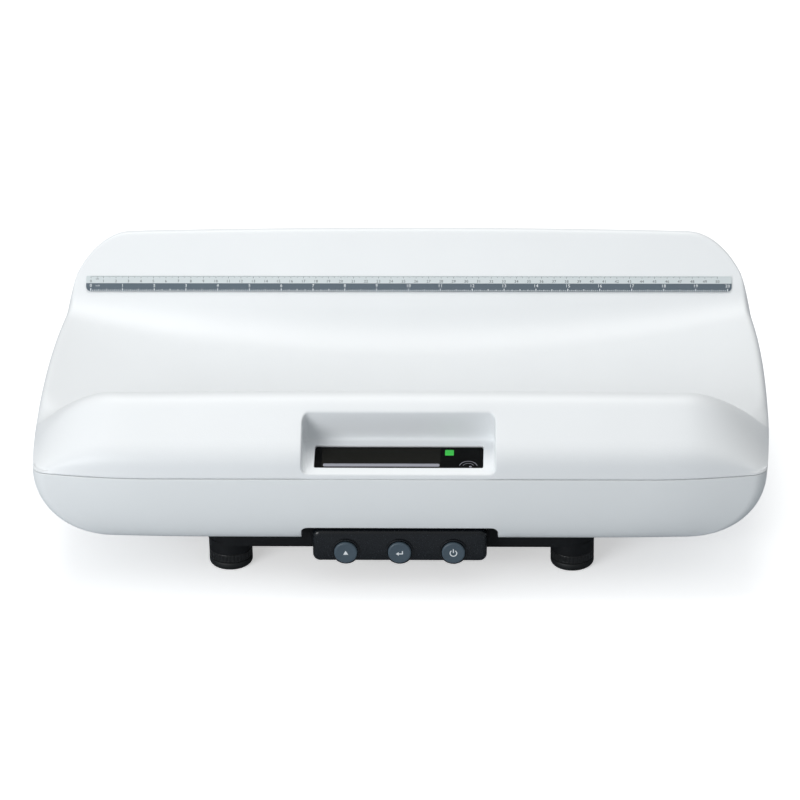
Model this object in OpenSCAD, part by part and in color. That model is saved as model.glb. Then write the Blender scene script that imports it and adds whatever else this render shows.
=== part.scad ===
// Digital baby weighing scale: a white trough-shaped tray on a black base with four levelling feet,
// a display sunk in the front of the tray and a three-button panel below it.
// X runs along the tray, Y from front to back, Z up. The origin is under the middle, on the table.

/* [Tray] */
// Length of the tray from end to end, at its widest
tray_w = 559; // [520:1:600]
// Depth of the tray from front to back
tray_d = 318; // [310:1:330]
// Wall thickness of the tray and of the lower shell
wall = 3; // [2.5:0.1:3.5]
// Height of the seam between the tray and the lower shell
seam_h = 95.3; // [93:0.1:96]
// Height of the back rim above the table, in the middle
rim_h = 154; // [149:0.5:160]
// Radius of the rounded back rim
rim_r = 5; // [4:0.5:6]
// Width of each rounded top corner of the back rim
rim_corner = 47; // [42:1:52]
// Height of the back rim at the ends of the tray
rim_end_h = 106; // [105.5:0.5:112]
// Height of the front crest above the table, in the middle
crest_h = 141.5; // [139:0.5:144]
// Distance from the tray's front to the line where the front face and the inner front wall would meet
crest_in = 59.3; // [57:0.1:62]
// Radius of the rounded crest
crest_r = 18; // [14:1:20]
// How much lower the crest and the rim are at the ends than in the middle
arch = 3.5; // [2:0.5:5]
// Length over which the crest and the front face curve down to the seam at each end
end_drop = 64; // [58:1:70]
// Height of the middle of the trough floor
floor_h = 82; // [80:0.5:84]
// How much the trough floor rises from the middle to the ends
floor_rise = 23; // [18:1:26]
// Radius between the trough floor and the back slope, in the middle
floor_r = 60; // [50:1:62]
// Radius between the trough floor and the back slope, at the ends
floor_end_r = 36; // [30:1:38]
// Radius between the trough floor and the inner front wall
front_r = 30; // [26:1:34]
// Steepness of the back slope of the trough, in degrees
back_slope = 48; // [46:0.5:50]
// Steepness of the inner front wall of the trough, in degrees
front_slope = 72; // [70:1:74]
// Height of the bend in the front face above the seam
bend_up = 18; // [16:1:22]
// How far the front face leans back up to that bend
bend_in = 3; // [2:0.5:4]
// Radius of the bend in the front face
bend_r = 40; // [30:1:46]
// Length over which the front curves back to each end, seen from above
corner_w = 90; // [80:1:100]
// How far each front corner is drawn back
corner_front = 9.5; // [8:0.5:12]
// Radius of the edge between the front and each end, seen from above
corner_r = 9; // [7:1:11]
// Length of each rounded back corner, seen from above
corner_back_w = 38; // [32:1:44]
// How far each back corner is drawn forward
corner_back = 34; // [30:1:38]
// Width of the rounded edge at the ends of the trough and of the back slope
edge_w = 6; // [5:0.5:6.5]
// Distance over which the rounding of the ends widens from that edge to the crest's
edge_blend = 60; // [50:1:70]
// How far each end draws in, half the tray's depth in front of and behind its widest place
bow = 10; // [8:0.5:12]
// Distance of the widest place in front of the middle of the tray
bow_in = 24; // [15:1:30]

/* [Lower shell] */
// Height of the flat bottom of the lower shell
shell_bottom = 36.5; // [35.5:0.5:37.5]
// Height of the straight band under the seam
shell_band = 2; // [1.5:0.5:3]
// How far the bottom is drawn in at the ends
shell_in_end = 55; // [50:1:60]
// How far the bottom is drawn in at the front
shell_in_front = 19; // [17:1:21]
// How far the bottom is drawn in at the back
shell_in_back = 24; // [20:1:28]
// Depth of the fine groove at the seam
seam_groove = 0.8; // [0.6:0.1:1]
// Height of the fine groove at the seam
seam_gap = 0.6; // [0.4:0.1:0.8]
// Gap between the base and the edge of the opening in the lower shell
opening_gap = 7; // [6.5:0.5:8]
// The same gap at the front
opening_gap_front = 4; // [3.5:0.5:5]
// Half the width of the notch for the control panel
notch_half = 74; // [72:1:76]
// Height of the top of the notch for the control panel
notch_top = 49.8; // [49.4:0.1:51]
// Radius of the top corners of the notch
notch_r = 5; // [3:0.5:7]

/* [Display recess] */
// Half the width of the recess
recess_half = 73; // [71.5:0.5:75]
// Height of the upper edge of the recess
recess_high = 134; // [131:0.5:135]
// Radius of the upper corners of the recess
recess_r = 6; // [4:0.5:8]
// Distance from the tray's front to the back wall of the recess
recess_deep = 42; // [41:0.5:43]
// Height of the recess floor at its back
recess_floor_h = 106.5; // [105.5:0.5:107.5]
// Tilt of the recess floor and of the display, in degrees
display_tilt = 10.5; // [9:0.5:11]
// Wall thickness of the recess
recess_wall = 2.5; // [2:0.1:2.8]

/* [Display unit] */
// Width of the display window
window_w = 125; // [123:1:128]
// Length of the display window, down the slope
window_d = 25.4; // [24:0.2:26]
// Thickness of the display window
window_t = 1.8; // [1.5:0.1:2]
// Distance from the back wall of the recess to the display window
window_back = 7.8; // [7:0.1:8.4]
// How far the window lies below the recess floor
window_sunk = 1.2; // [0.8:0.1:1.5]
// Gap round the display window in the recess floor
window_gap = 1; // [0.8:0.1:1.2]
// Width of the liquid crystal glass
lcd_w = 87; // [80:1:92]
// Length of the liquid crystal glass
lcd_d = 20.5; // [19:0.5:21.5]
// Thickness of the liquid crystal glass
lcd_t = 2.8; // [2.4:0.1:3]
// How far the middle of the liquid crystal glass lies left of the middle
lcd_left = 13; // [12:1:14]
// Height of the display housing
display_h = 21; // [20:0.5:24]
// Thickness of the circuit boards
board_t = 1.6; // [1.2:0.1:2]
// Distance of each display post from the middle
post_x = 44; // [40:1:48]
// Width of each display post
post_w = 14; // [12:1:16]
// Diameter of the spirit level
level_dia = 13; // [12:0.5:14]
// Distance of the spirit level right of the middle
level_x = 52; // [50:0.5:54]
// Diameter of the bubble in the spirit level
bubble_dia = 5; // [4:0.5:6]
// Side of the small green mark under the window
mark_w = 6.6; // [5:0.2:8]

/* [Base] */
// Width of the base
base_w = 295; // [292:1:298]
// Distance from the tray's front to the front of the base
base_front_in = 28; // [27:0.5:29]
// Depth of the base from front to back
base_d = 241; // [238:1:244]
// Height of the underside of the base
base_bottom = 22; // [21.5:0.5:23]
// Height of the walls of the base, without the cover
base_h = 20; // [19:0.5:20.5]
// Wall thickness of the base
base_wall = 2.5; // [2:0.1:3]
// Radius of the base's corners, seen from above
base_r = 20; // [18:1:22]
// Thickness of the base cover
cover_t = 2.5; // [2:0.1:3]
// Half the width of the base cover's opening over the load cell
cover_slot_x = 72; // [70:1:76]
// Half the depth of the base cover's opening over the load cell
cover_slot_y = 21; // [19:1:24]

/* [Load cell and carrier] */
// Length of the load cell
cell_l = 130; // [126:1:134]
// Width of the load cell
cell_w = 30; // [28:1:32]
// Height of the load cell
cell_h = 22; // [21:0.5:23]
// Radius of each of the load cell's two bending bores
cell_bore_r = 7; // [6:0.5:7.5]
// Distance between the load cell's bending bores
cell_bore_gap = 20; // [19:1:24]
// Thickness of the plate under the load cell's fixed end
cell_plate_t = 3; // [2.5:0.5:3.5]
// Diameter of the load cell's screws
cell_screw_dia = 6; // [5:0.5:6.5]
// Height of the spacer on the load cell's free end
spacer_t = 3.5; // [3:0.5:4]
// Thickness of the carrier plate
carrier_t = 4; // [3.5:0.5:4.5]
// Distance of the carrier's screws from the middle, along the tray
carrier_x = 110; // [104:1:116]
// Distance of the carrier's front screws in front of the middle
carrier_y_front = 48; // [44:1:52]
// Distance of the carrier's back screws behind the middle
carrier_y_back = 64; // [60:1:68]
// Width of the carrier's border outside its screws
carrier_edge = 12; // [10:0.5:14]
// Radius of the tray's screw bosses
boss_r = 6; // [5.5:0.5:7]
// Diameter of the carrier's and the shell's screws
screw_dia = 4; // [3:0.5:4]
// Diameter of the heads of those screws
screw_head_dia = 7.5; // [7:0.5:8]
// Distance of the shell's screws from the middle, along the tray
shell_screw_x = 212; // [205:1:216]
// Distance of the shell's front screws in front of the middle
shell_screw_front = 62; // [55:1:70]
// Distance of the shell's back screws from the back of the tray
shell_screw_in = 81; // [78:1:89]
// Height at which the tray's and the shell's bosses meet
shell_boss_meet = 72; // [68:1:76]
// Gap between the overload stops and the carrier
stop_gap = 0.8; // [0.7:0.1:1]
// Radius of the overload stops
stop_r = 5; // [4:0.5:6]

/* [Control panel] */
// Width of the control panel
panel_w = 131; // [128:1:134]
// Height of the control panel
panel_h = 27; // [26.5:0.5:27.5]
// Height of the control panel's underside
panel_bottom = 20; // [19.5:0.5:20.5]
// Distance from the tray's front to the face of the control panel
panel_in = 8; // [7.5:0.5:9]
// Wall thickness of the control panel
panel_wall = 2.5; // [2:0.1:3]
// Radius of the control panel's upper front edge
panel_r = 5; // [3:0.5:6]
// Number of buttons
button_count = 3; // [3:1:3]
// Distance between the buttons
button_pitch = 40.5; // [36:0.5:44]
// Diameter of the buttons
button_dia = 17.5; // [16:0.5:18]
// How far the buttons stand out of the panel
button_out = 3.7; // [3:0.1:4.5]
// How far the buttons can be pressed
button_travel = 1.2; // [0.8:0.1:1.4]
// Height of the buttons' middle above the panel's underside
button_up = 9.6; // [9.4:0.1:10.4]
// Gap round each button
button_gap = 0.35; // [0.3:0.05:0.5]
// Radius of the buttons' plungers
plunger_r = 6.5; // [5:0.5:7]
// Width of the raised ring round each button
collar_w = 1.3; // [1:0.1:1.5]
// How far the raised ring stands out of the panel
collar_out = 1.6; // [1.4:0.1:1.8]
// Side of the switches behind the buttons
switch_w = 12; // [10:0.5:13]
// Depth of the switches behind the buttons
switch_t = 4.3; // [4:0.1:5]

/* [Feet] */
// Distance of the feet from the middle, along the tray
foot_x = 130; // [128:0.5:131]
// Distance from the base's front to the front feet, and from its back to the back feet
foot_in = 17; // [17:0.5:19]
// Radius of the feet
foot_r = 16.5; // [15:0.5:16.5]
// Height of the rubber pads
pad_h = 6.5; // [6:0.5:7]
// Radius of the pads' lower edge
pad_edge = 3; // [2:0.5:3]
// Height of the turning knobs
knob_h = 6.5; // [6:0.5:7]
// Gap above and below each knob
knob_gap = 0.3; // [0.3:0.05:0.5]
// Diameter of the feet's screws
foot_screw_dia = 8; // [7:0.5:8]
// Length of the feet's screws above the knobs
foot_screw_l = 22; // [20:1:23]
// Radial play of the feet's screws in their brass inserts
screw_play = 0.1; // [0.05:0.01:0.15]
// Radius of the brass inserts
insert_r = 6; // [5.5:0.5:6.5]

/* [Batteries] */
// Diameter of a battery
cell_dia = 14.2; // [13.5:0.1:14.5]
// Length of a battery
battery_l = 50; // [49:0.5:50.5]
// Rows of two batteries
battery_rows = 3; // [3:1:3]
// Distance between the rows of batteries
battery_pitch = 15.2; // [15:0.1:16]
// Wall thickness of the battery box
box_wall = 1.8; // [1.5:0.1:2]
// Distance of the battery box's middle from the back of the base
box_in = 42; // [40:1:44]
// Thickness of the battery door
door_t = 2; // [1.8:0.1:2.2]
// Gap round the battery door
door_gap = 0.5; // [0.4:0.1:0.6]

/* [Scale strip] */
// Length of the measuring strip
strip_l = 515; // [500:1:516]
// Width of the measuring strip
strip_w = 12.7; // [12:0.1:14]
// Thickness of the measuring strip
strip_t = 0.8; // [0.6:0.1:1]
// Distance up the back slope from the trough floor to the strip
strip_up = 45; // [42:0.1:48]
// Width of the strip's dark lower band
band_w = 6.6; // [6:0.1:7]

/* [Hidden] */

$fn = 64;
// Stations along the straight middle and along each curved end, on each half of the tray
mid_steps = 5;
end_steps = 9;
// Steps of each rounded bend in the tray's section
bend_steps = 5;
// Steps along each end of the lower shell, and down its curved wall
side_steps = 6;
wall_steps = 8;
// Thickness of a cut that reaches past a face
past = 1;
// Least gap between pieces that are joined without touching
fit = 0.1;
white = [0.93, 0.94, 0.95];
black = [0.07, 0.07, 0.08];
steel = [0.62, 0.63, 0.65];
brass = [0.75, 0.62, 0.33];
green = [0.1, 0.38, 0.22];

tray_half = tray_w / 2;
y_front = -tray_d / 2;
y_back = tray_d / 2;
crest_y = y_front + crest_in;
base_front = y_front + base_front_in;
base_back = base_front + base_d;
box_y = base_back - box_in;
base_top = base_bottom + base_h;
cover_top = base_top + cover_t;
panel_face = y_front + panel_in;
recess_back = y_front + recess_deep;
step_count = mid_steps + end_steps;

// How far the meeting point of two slopes lies above the top of the arc that rounds it
function over(r, a, b) =
    let (half = (180 - a - b) / 2, d = r / sin(half), lean = (b - a) / 2)
    d * cos(lean) - r;

// From 1 down to 0 over the last width w before the end: a quarter ellipse for p = 0.5, nearly a parabola
// for p = 1
function ease(x, w, end, p = 0.5) =
    abs(x) <= end - w ? 1 : pow(max(0, 1 - pow((abs(x) - end + w) / w, 2)), p);

// Powers for the curve of the front, seen from above, and for the fall of the crest to each end
front_power = 1.1;
drop_power = 0.95;
function ends_lower(x) = arch * pow(x / tray_half, 2);

// Meeting point of the fascia and the inner front wall, and of the back slope and the outer back wall
fascia_slope = 34;
crest_over = over(crest_r, fascia_slope, front_slope);
rim_over = over(rim_r, back_slope, 90);

// Line of the back slope: its foot on the trough floor
slope_foot_y = y_back - (rim_h + rim_over - floor_h) / tan(back_slope);

// How far the front is drawn back at x: a long curve and a small round at its end
function front_back(x, end, long, round) =
    long * (1 - ease(x, corner_w, end, front_power)) + round * (1 - ease(x, round, end));
function front_y(x, end, w) = y_front + w + front_back(x, end, corner_front, corner_r);
function back_y(x, end, w) = y_back - w - corner_back * (1 - ease(x, corner_back_w, end));
function floor_z(x) = floor_h + floor_rise * pow(x / tray_half, 2);
function slope_y(z) = slope_foot_y + (z - floor_h) / tan(back_slope);
function rim_z(x, end) =
    let (e = ease(x, rim_corner, end))
    rim_end_h + (rim_h + rim_over - ends_lower(x) - rim_end_h) * e;

// The section of the tray at x, from the front seam over the top to the back: its corner points and their
// radii
function section(x, end) =
    let (
        yf = front_y(x, end, 0),
        shift = yf - y_front,
        zc = crest_h + crest_over - ends_lower(x),
        zf = floor_z(x),
        zr = rim_z(x, end)
    )
    [
        [[yf, seam_h], 0],
        [[yf + bend_in, seam_h + bend_up], bend_r],
        [[crest_y + shift, zc], crest_r],
        [[crest_y + shift + (zc - zf) / tan(front_slope), zf], front_r],
        [[slope_y(zf), zf], floor_r + (floor_end_r - floor_r) * pow(x / tray_half, 2)],
        [[slope_y(zr), zr], rim_r],
        [[back_y(x, end, 0), seam_h], 0]
    ];

function unit(v) = v / norm(v);
function right_of(v) = [v[1], -v[0]];
function cross2(a, b) = a[0] * b[1] - a[1] * b[0];

// The same section moved inwards by w
function moved_in(s, w) =
    [for (i = [0 : len(s) - 1])
        i == 0 ? [s[i][0] + [w, 0], 0] :
        i == len(s) - 1 ? [s[i][0] - [w, 0], 0] :
        let (
            a = unit(s[i][0] - s[i - 1][0]),
            b = unit(s[i + 1][0] - s[i][0]),
            n = right_of(a),
            m = right_of(b),
            bulge = cross2(a, b) < 0 ? -w : w
        )
        [s[i][0] + w * (n + m) / (1 + n * m), s[i][1] + bulge]];

// An arc that rounds the corner b of the line a-b-c, shortened where the line is too short for its radius
function rounded(a, b, c, r, n) =
    let (
        u = unit(a - b),
        v = unit(c - b),
        half = acos(max(-1, min(1, u * v))) / 2,
        reach = min(r / tan(half), 0.48 * min(norm(a - b), norm(c - b))),
        radius = reach * tan(half),
        centre = b + unit(u + v) * radius / sin(half),
        start = b + u * reach - centre,
        from = atan2(start[1], start[0]),
        sweep = (cross2(u, v) > 0 ? -1 : 1) * (180 - 2 * half)
    )
    [for (i = [0 : n]) centre + radius * [cos(from + sweep * i / n), sin(from + sweep * i / n)]];

function path(s) =
    [for (i = [0 : len(s) - 1])
        each (i == 0 || i == len(s) - 1)
            ? [s[i][0]]
            : rounded(s[i - 1][0], s[i][0], s[i + 1][0], s[i][1], bend_steps)];

// The ends bow outwards: they draw in from their widest place towards the front and the back
bow_power = 2.4;
function drawn_in(x, y) = x * (1 - bow / tray_half * pow(abs(y + bow_in) / (tray_d / 2), bow_power));

// Station k of the tray, from -step_count to step_count
function station(k, end) =
    let (i = abs(k), side = sign(k))
    side * (i <= mid_steps
        ? (end - end_drop) * i / mid_steps
        : end - end_drop + end_drop * sin(90 * (i - mid_steps) / end_steps));

// The rounding of the ends is wide along the crest and narrow along the trough. Share of the way between
// them at y, and the width and the power there
function edge_share(y) =
    let (u = max(0, min(1, (y - crest_y) / edge_blend)))
    u * u * (3 - 2 * u);
function edge_at(y) = end_drop + (edge_w - end_drop) * edge_share(y);
function edge_power(y) = drop_power + (0.5 - drop_power) * edge_share(y);

function tray_rows(w) =
    let (end = tray_half - w)
    [for (k = [-step_count : step_count])
        let (x = station(k, end), s = section(x, end), p = path(w == 0 ? s : moved_in(s, w)))
        [for (q = p)
            let (low = ease(x, edge_at(q[0]) - w, end, edge_power(q[0])))
            [drawn_in(x, q[0]), q[0], seam_h + (q[1] - seam_h) * low]]];

// A shell between two grids of points whose borders both lie in the plane of the seam. Its faces are listed
// from the small ones at the borders to the large ones in the middle row.
module grid_shell(outer, inner) {
    rows = len(outer);
    cols = len(outer[0]);
    far = rows * cols;
    points = concat([for (r = outer) each r], [for (r = inner) each r]);
    order = [for (k = [0 : rows - 2]) (k + floor(rows / 2) + 1) % (rows - 1)];
    faces = concat(
        [for (j = [0 : cols - 2])
            let (a = j, c = (rows - 1) * cols + j)
            each [[a, far + a, far + a + 1], [a, far + a + 1, a + 1],
                [far + c, c, c + 1], [far + c, c + 1, far + c + 1]]],
        [for (i = [0 : rows - 2])
            let (a = i * cols, b = a + cols, c = a + cols - 1, d = b + cols - 1)
            each [[a, b, far + b], [a, far + b, far + a], [far + c, far + d, d], [far + c, d, c]]],
        [for (i = order, j = [0 : cols - 2])
            let (a = far + i * cols + j, b = a + cols)
            each [[a, b + 1, a + 1], [a, b, b + 1]]],
        [for (i = order, j = [0 : cols - 2])
            let (a = i * cols + j, b = a + cols)
            each [[a, a + 1, b + 1], [a, b + 1, b]]]);
    polyhedron(points, faces, convexity = 8);
}

// The recess for the display, as a section that is extruded along X
function recess_floor_z(y) = recess_floor_h + (y - recess_back) * tan(display_tilt);

module recess_section() {
    polygon([
        [recess_back, recess_floor_h],
        [recess_back - recess_wall, recess_high - recess_wall],
        [recess_back - 3 * recess_wall, recess_high],
        [y_front - wall, recess_high + wall],
        [y_front - wall, recess_floor_z(y_front - wall)]
    ]);
}

module recess_liner_section() {
    mid_wall = path(moved_in(section(0, tray_half), wall / 2));
    foot = recess_back + recess_wall;
    front = y_front + wall / 2;
    // The liner stays above the seam, and clear of the lower shell's wall below it
    intersection() {
        polygon([
            [foot, recess_floor_h - recess_wall],
            [foot, recess_high + 2 * recess_wall],
            [front, recess_high + 2 * recess_wall],
            [front, max(seam_h, recess_floor_z(front) - recess_wall)],
            [y_front + wall + 3 * fit, max(seam_h, recess_floor_z(y_front) - recess_wall)]
        ]);
        polygon(concat(mid_wall, [[y_back - wall, 0], [y_front + wall / 2, 0]]));
    }
}

module along_x(half) {
    translate([-half, 0, 0])
        rotate([90, 0, 90])
            linear_extrude(2 * half)
                children();
}

// Children in the display's own tilted frame: its origin is the back edge of the recess floor
module at_display() {
    translate([0, recess_back, recess_floor_h])
        rotate([display_tilt, 0, 0])
            children();
}

module block(x0, x1, y0, y1, z0, z1) {
    translate([x0, y0, z0])
        cube([x1 - x0, y1 - y0, z1 - z0]);
}

module rod(x, y, z0, z1, r) {
    translate([x, y, z0])
        cylinder(h = z1 - z0, r = r);
}

module rounded_plate(x, y0, y1, z0, z1, r) {
    translate([0, 0, z0])
        linear_extrude(z1 - z0)
            rounded_outline(x, y0, y1, r);
}

module rounded_outline(x, y0, y1, r) {
    union() {
        translate([-x + r, y0])
            square([2 * (x - r), y1 - y0]);
        translate([-x, y0 + r])
            square([2 * x, y1 - y0 - 2 * r]);
        for (sx = [-1, 1], y = [y0 + r, y1 - r])
            translate([sx * (x - r), y])
                circle(r);
    }
}

// Places of the screws
carrier_points = [for (sx = [-1, 1], y = [-carrier_y_front, carrier_y_back]) [sx * carrier_x, y]];
shell_points = [for (sx = [-1, 1], y = [-shell_screw_front, y_back - shell_screw_in]) [sx * shell_screw_x, y]];

cell_z0 = base_bottom + base_wall + cell_plate_t;
cell_z1 = cell_z0 + cell_h;
carrier_z0 = cell_z1 + spacer_t;
carrier_z1 = carrier_z0 + carrier_t;
screw_r = screw_dia / 2;
head_r = screw_head_dia / 2;
head_t = screw_dia * 0.6;
// How deep the screws reach into the tray's bosses
bite = 12;

module weighing_tray() {
    color(white)
        difference() {
            union() {
                grid_shell(tray_rows(0), tray_rows(wall));
                along_x(recess_half + recess_wall)
                    recess_liner_section();
                for (p = carrier_points)
                    rod(p[0], p[1], carrier_z1, floor_z(p[0]) - wall / 2, boss_r);
                for (p = shell_points)
                    rod(p[0], p[1], shell_boss_meet, floor_z(p[0]) - wall / 2, boss_r);
            }
            intersection() {
                along_x(recess_half)
                    recess_section();
                translate([0, recess_back + past, 0])
                    rotate([90, 0, 0])
                        linear_extrude(2 * recess_deep)
                            rounded_outline(recess_half, seam_h - 2 * recess_r, recess_high, recess_r);
            }
            at_display()
                block(-window_w / 2 - window_gap, window_w / 2 + window_gap,
                    -window_back - window_d - window_gap, -window_back + window_gap,
                    -2 * recess_wall, past);
            for (p = carrier_points)
                rod(p[0], p[1], carrier_z1 - past, carrier_z1 + bite + past, screw_r + fit);
            for (p = shell_points)
                rod(p[0], p[1], shell_boss_meet - past, shell_boss_meet + bite + past, screw_r + fit);
        }
}

// Lower shell: closed rings from the seam down the outside, over the edge of the opening and up the inside
opening_half = base_w / 2 + opening_gap;
opening_front = base_front - opening_gap_front;
opening_back = base_back + opening_gap;
shell_curve_top = seam_h - shell_band;
shell_curve_h = shell_curve_top - shell_bottom;

// A ring at height z. Its front is drawn back by a long curve and a small round, its back by one round
function ring(half, y0, y1, long, round, back_w, back, z) =
    let (
        front_row = [for (k = [-step_count : step_count])
            let (x = station(k, half)) [x, y0 + front_back(x, half, long, round)]],
        back_row = [for (k = [step_count : -1 : -step_count])
            let (x = station(k, half)) [x, y1 - back * (1 - ease(x, back_w, half))]],
        end0 = y0 + long + round,
        end1 = y1 - back,
        right = [for (i = [1 : side_steps - 1]) [half, end0 + (end1 - end0) * i / side_steps]],
        left = [for (i = [side_steps - 1 : -1 : 1]) [-half, end0 + (end1 - end0) * i / side_steps]]
    )
    [for (q = concat(front_row, right, back_row, left)) [drawn_in(q[0], q[1]), q[1], z]];

// How much straighter the front gets towards the bottom of the shell, and how much rounder its corners
straighter = 8.5;
rounder_front = 4;
rounder_back_w = 20;
rounder_back = 10;

function shell_ring(in_end, in_front, in_back, z) =
    let (grow = in_end / shell_in_end)
    ring(tray_half - in_end, y_front + in_front, y_back - in_back, corner_front - straighter * grow,
        corner_r + rounder_front * grow, corner_back_w + rounder_back_w * grow,
        corner_back + rounder_back * grow, z);

shell_rings = concat(
    [shell_ring(seam_groove, seam_groove, seam_groove, seam_h),
        shell_ring(seam_groove, seam_groove, seam_groove, seam_h - seam_gap)],
    [for (i = [0 : wall_steps])
        let (a = 90 * i / wall_steps, s = 1 - cos(a))
        shell_ring(shell_in_end * s, shell_in_front * s, shell_in_back * s,
            shell_curve_top - shell_curve_h * sin(a))],
    [for (z = [shell_bottom, shell_bottom + wall])
        ring(opening_half, opening_front, opening_back, 0, base_r, base_r, base_r, z)],
    [for (i = [wall_steps : -1 : 0])
        let (a = 90 * i / wall_steps, c = cos(a))
        shell_ring(shell_in_end - (shell_in_end - wall) * c, shell_in_front - (shell_in_front - wall) * c,
            shell_in_back - (shell_in_back - wall) * c,
            shell_curve_top - (shell_curve_h - wall) * sin(a))],
    [shell_ring(wall, wall, wall, seam_h)]);

module ring_loop(rings) {
    n = len(rings[0]);
    points = [for (r = rings) each r];
    faces = [for (r = [0 : len(rings) - 1], m = [0 : n - 1])
        let (s = (r + 1) % len(rings), q = (m + 1) % n)
        each [[r * n + m, r * n + q, s * n + q], [r * n + m, s * n + q, s * n + m]]];
    polyhedron(points, faces, convexity = 8);
}

module lower_shell() {
    color(white)
        difference() {
            union() {
                ring_loop(shell_rings);
                for (p = shell_points)
                    rod(p[0], p[1], shell_bottom + wall / 2, shell_boss_meet, boss_r);
            }
            translate([0, y_front + shell_in_front + 2 * wall, 0])
                rotate([90, 0, 0])
                    linear_extrude(shell_in_front + 3 * wall)
                        rounded_outline(notch_half, shell_bottom - 3 * notch_r, notch_top, notch_r);
            for (p = shell_points) {
                rod(p[0], p[1], shell_bottom - past, shell_boss_meet - bite / 2, head_r + 3 * fit);
                rod(p[0], p[1], shell_bottom, shell_boss_meet + past, screw_r + fit);
            }
        }
}

// The back slope's own frame: X along the tray, Y up the slope, Z out of it
module at_slope() {
    translate([0, slope_foot_y, floor_h])
        rotate([back_slope, 0, 0])
            children();
}

module measuring_strip() {
    color([0.87, 0.89, 0.91])
        at_slope()
            block(-strip_l / 2, strip_l / 2, strip_up + band_w, strip_up + strip_w, fit, fit + strip_t);
}

module strip_inch_band() {
    color([0.36, 0.4, 0.44])
        at_slope()
            block(-strip_l / 2, strip_l / 2, strip_up, strip_up + band_w, fit, fit + strip_t);
}

// Platform: what the load cell carries
cell_screw_r = cell_screw_dia / 2;
cell_head_r = cell_screw_dia * 0.85;
cell_head_t = cell_screw_dia * 0.6;
// Distances of the load cell's two screws from its end
cell_holes = [10, 24];
// Depth of the threaded holes in the load cell, and how far the screws fill them
cell_hole_depth = 12;
cell_screw_bite = 10;
carrier_front = -carrier_y_front - carrier_edge;
carrier_back = carrier_y_back + carrier_edge;
// Height and thickness of the carrier's folded edge
carrier_lip_h = 6;
carrier_lip_t = 2.5;
fixed_x = [for (d = cell_holes) d - cell_l / 2];
free_x = [for (d = cell_holes) cell_l / 2 - d];

module platform_carrier() {
    half = carrier_x + carrier_edge;
    color(steel)
        difference() {
            rounded_plate(half, carrier_front, carrier_back, carrier_z0, carrier_z1 + carrier_lip_h,
                carrier_edge);
            rounded_plate(half - carrier_lip_t, carrier_front + carrier_lip_t, carrier_back - carrier_lip_t,
                carrier_z1, carrier_z1 + carrier_lip_h + past, carrier_edge - carrier_lip_t);
            for (q = carrier_points)
                rod(q[0], q[1], carrier_z0 - past, carrier_z1 + past, screw_r + fit);
            for (x = free_x)
                rod(x, 0, carrier_z0 - past, carrier_z1 + past, cell_screw_r + fit);
        }
}

// A screw with its head at z, pointing up (way 1) or down (way -1)
module screw(x, y, z, length, r, head, thick, way) {
    translate([x, y, z])
        rotate([way > 0 ? 0 : 180, 0, 0])
            difference() {
                union() {
                    translate([0, 0, -thick])
                        cylinder(h = thick, r = head);
                    cylinder(h = length, r = r);
                }
                translate([0, 0, -thick - past])
                    cylinder(h = thick / 2 + past, r = r * 0.7, $fn = 6);
            }
}

module carrier_screws() {
    color(steel)
        for (q = carrier_points)
            screw(q[0], q[1], carrier_z0, carrier_t + bite, screw_r, head_r, head_t, 1);
}

module shell_screws() {
    color(steel)
        for (q = shell_points)
            screw(q[0], q[1], shell_boss_meet - bite / 2, 1.5 * bite, screw_r, head_r, head_t, 1);
}

module load_cell() {
    mid = (cell_z0 + cell_z1) / 2;
    slot = cell_bore_r / 2;
    color([0.72, 0.73, 0.75])
        difference() {
            block(-cell_l / 2, cell_l / 2, -cell_w / 2, cell_w / 2, cell_z0, cell_z1);
            for (sx = [-1, 1])
                translate([sx * cell_bore_gap / 2, 0, mid])
                    rotate([90, 0, 0])
                        cylinder(h = cell_w + 2 * past, r = cell_bore_r, center = true);
            block(-cell_bore_gap / 2, cell_bore_gap / 2, -cell_w / 2 - past, cell_w / 2 + past,
                mid - slot, mid + slot);
            for (x = fixed_x)
                rod(x, 0, cell_z0 - past, cell_z0 + cell_hole_depth, cell_screw_r + fit);
            for (x = free_x)
                rod(x, 0, cell_z1 - cell_hole_depth, cell_z1 + past, cell_screw_r + fit);
        }
}

// Length of the load cell that is clamped at each end
clamp_l = cell_holes[0] + cell_holes[1];

module cell_plate() {
    color(steel)
        difference() {
            block(-cell_l / 2 - wall, -cell_l / 2 + clamp_l, -cell_w / 2 - wall, cell_w / 2 + wall,
                cell_z0 - cell_plate_t, cell_z0);
            for (x = fixed_x)
                rod(x, 0, cell_z0 - cell_plate_t - past, cell_z0 + past, cell_screw_r + fit);
        }
}

module cell_spacer() {
    color(steel)
        difference() {
            block(cell_l / 2 - clamp_l, cell_l / 2, -cell_w / 2, cell_w / 2, cell_z1, carrier_z0);
            for (x = free_x)
                rod(x, 0, cell_z1 - past, carrier_z0 + past, cell_screw_r + fit);
        }
}

module cell_fixed_screws() {
    color(steel)
        for (x = fixed_x)
            screw(x, 0, base_bottom, base_wall + cell_plate_t + cell_screw_bite, cell_screw_r,
                cell_head_r, cell_head_t, 1);
}

module cell_free_screws() {
    color(steel)
        for (x = free_x)
            screw(x, 0, carrier_z1, carrier_t + spacer_t + cell_screw_bite, cell_screw_r,
                cell_head_r, cell_head_t, -1);
}

// Base
foot_front = base_front + foot_in;
foot_back = base_back - foot_in;
foot_screw_r = foot_screw_dia / 2;
knob_z0 = pad_h + knob_gap;
knob_z1 = knob_z0 + knob_h;
foot_boss_z0 = knob_z1 + knob_gap;
insert_z0 = foot_boss_z0 + base_wall;
// Length of the brass inserts
insert_l = 16;
foot_boss_r = insert_r + 1.5 * base_wall;
foot_points = [for (y = [foot_front, foot_back], sx = [-1, 1]) [sx * foot_x, y]];
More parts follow.
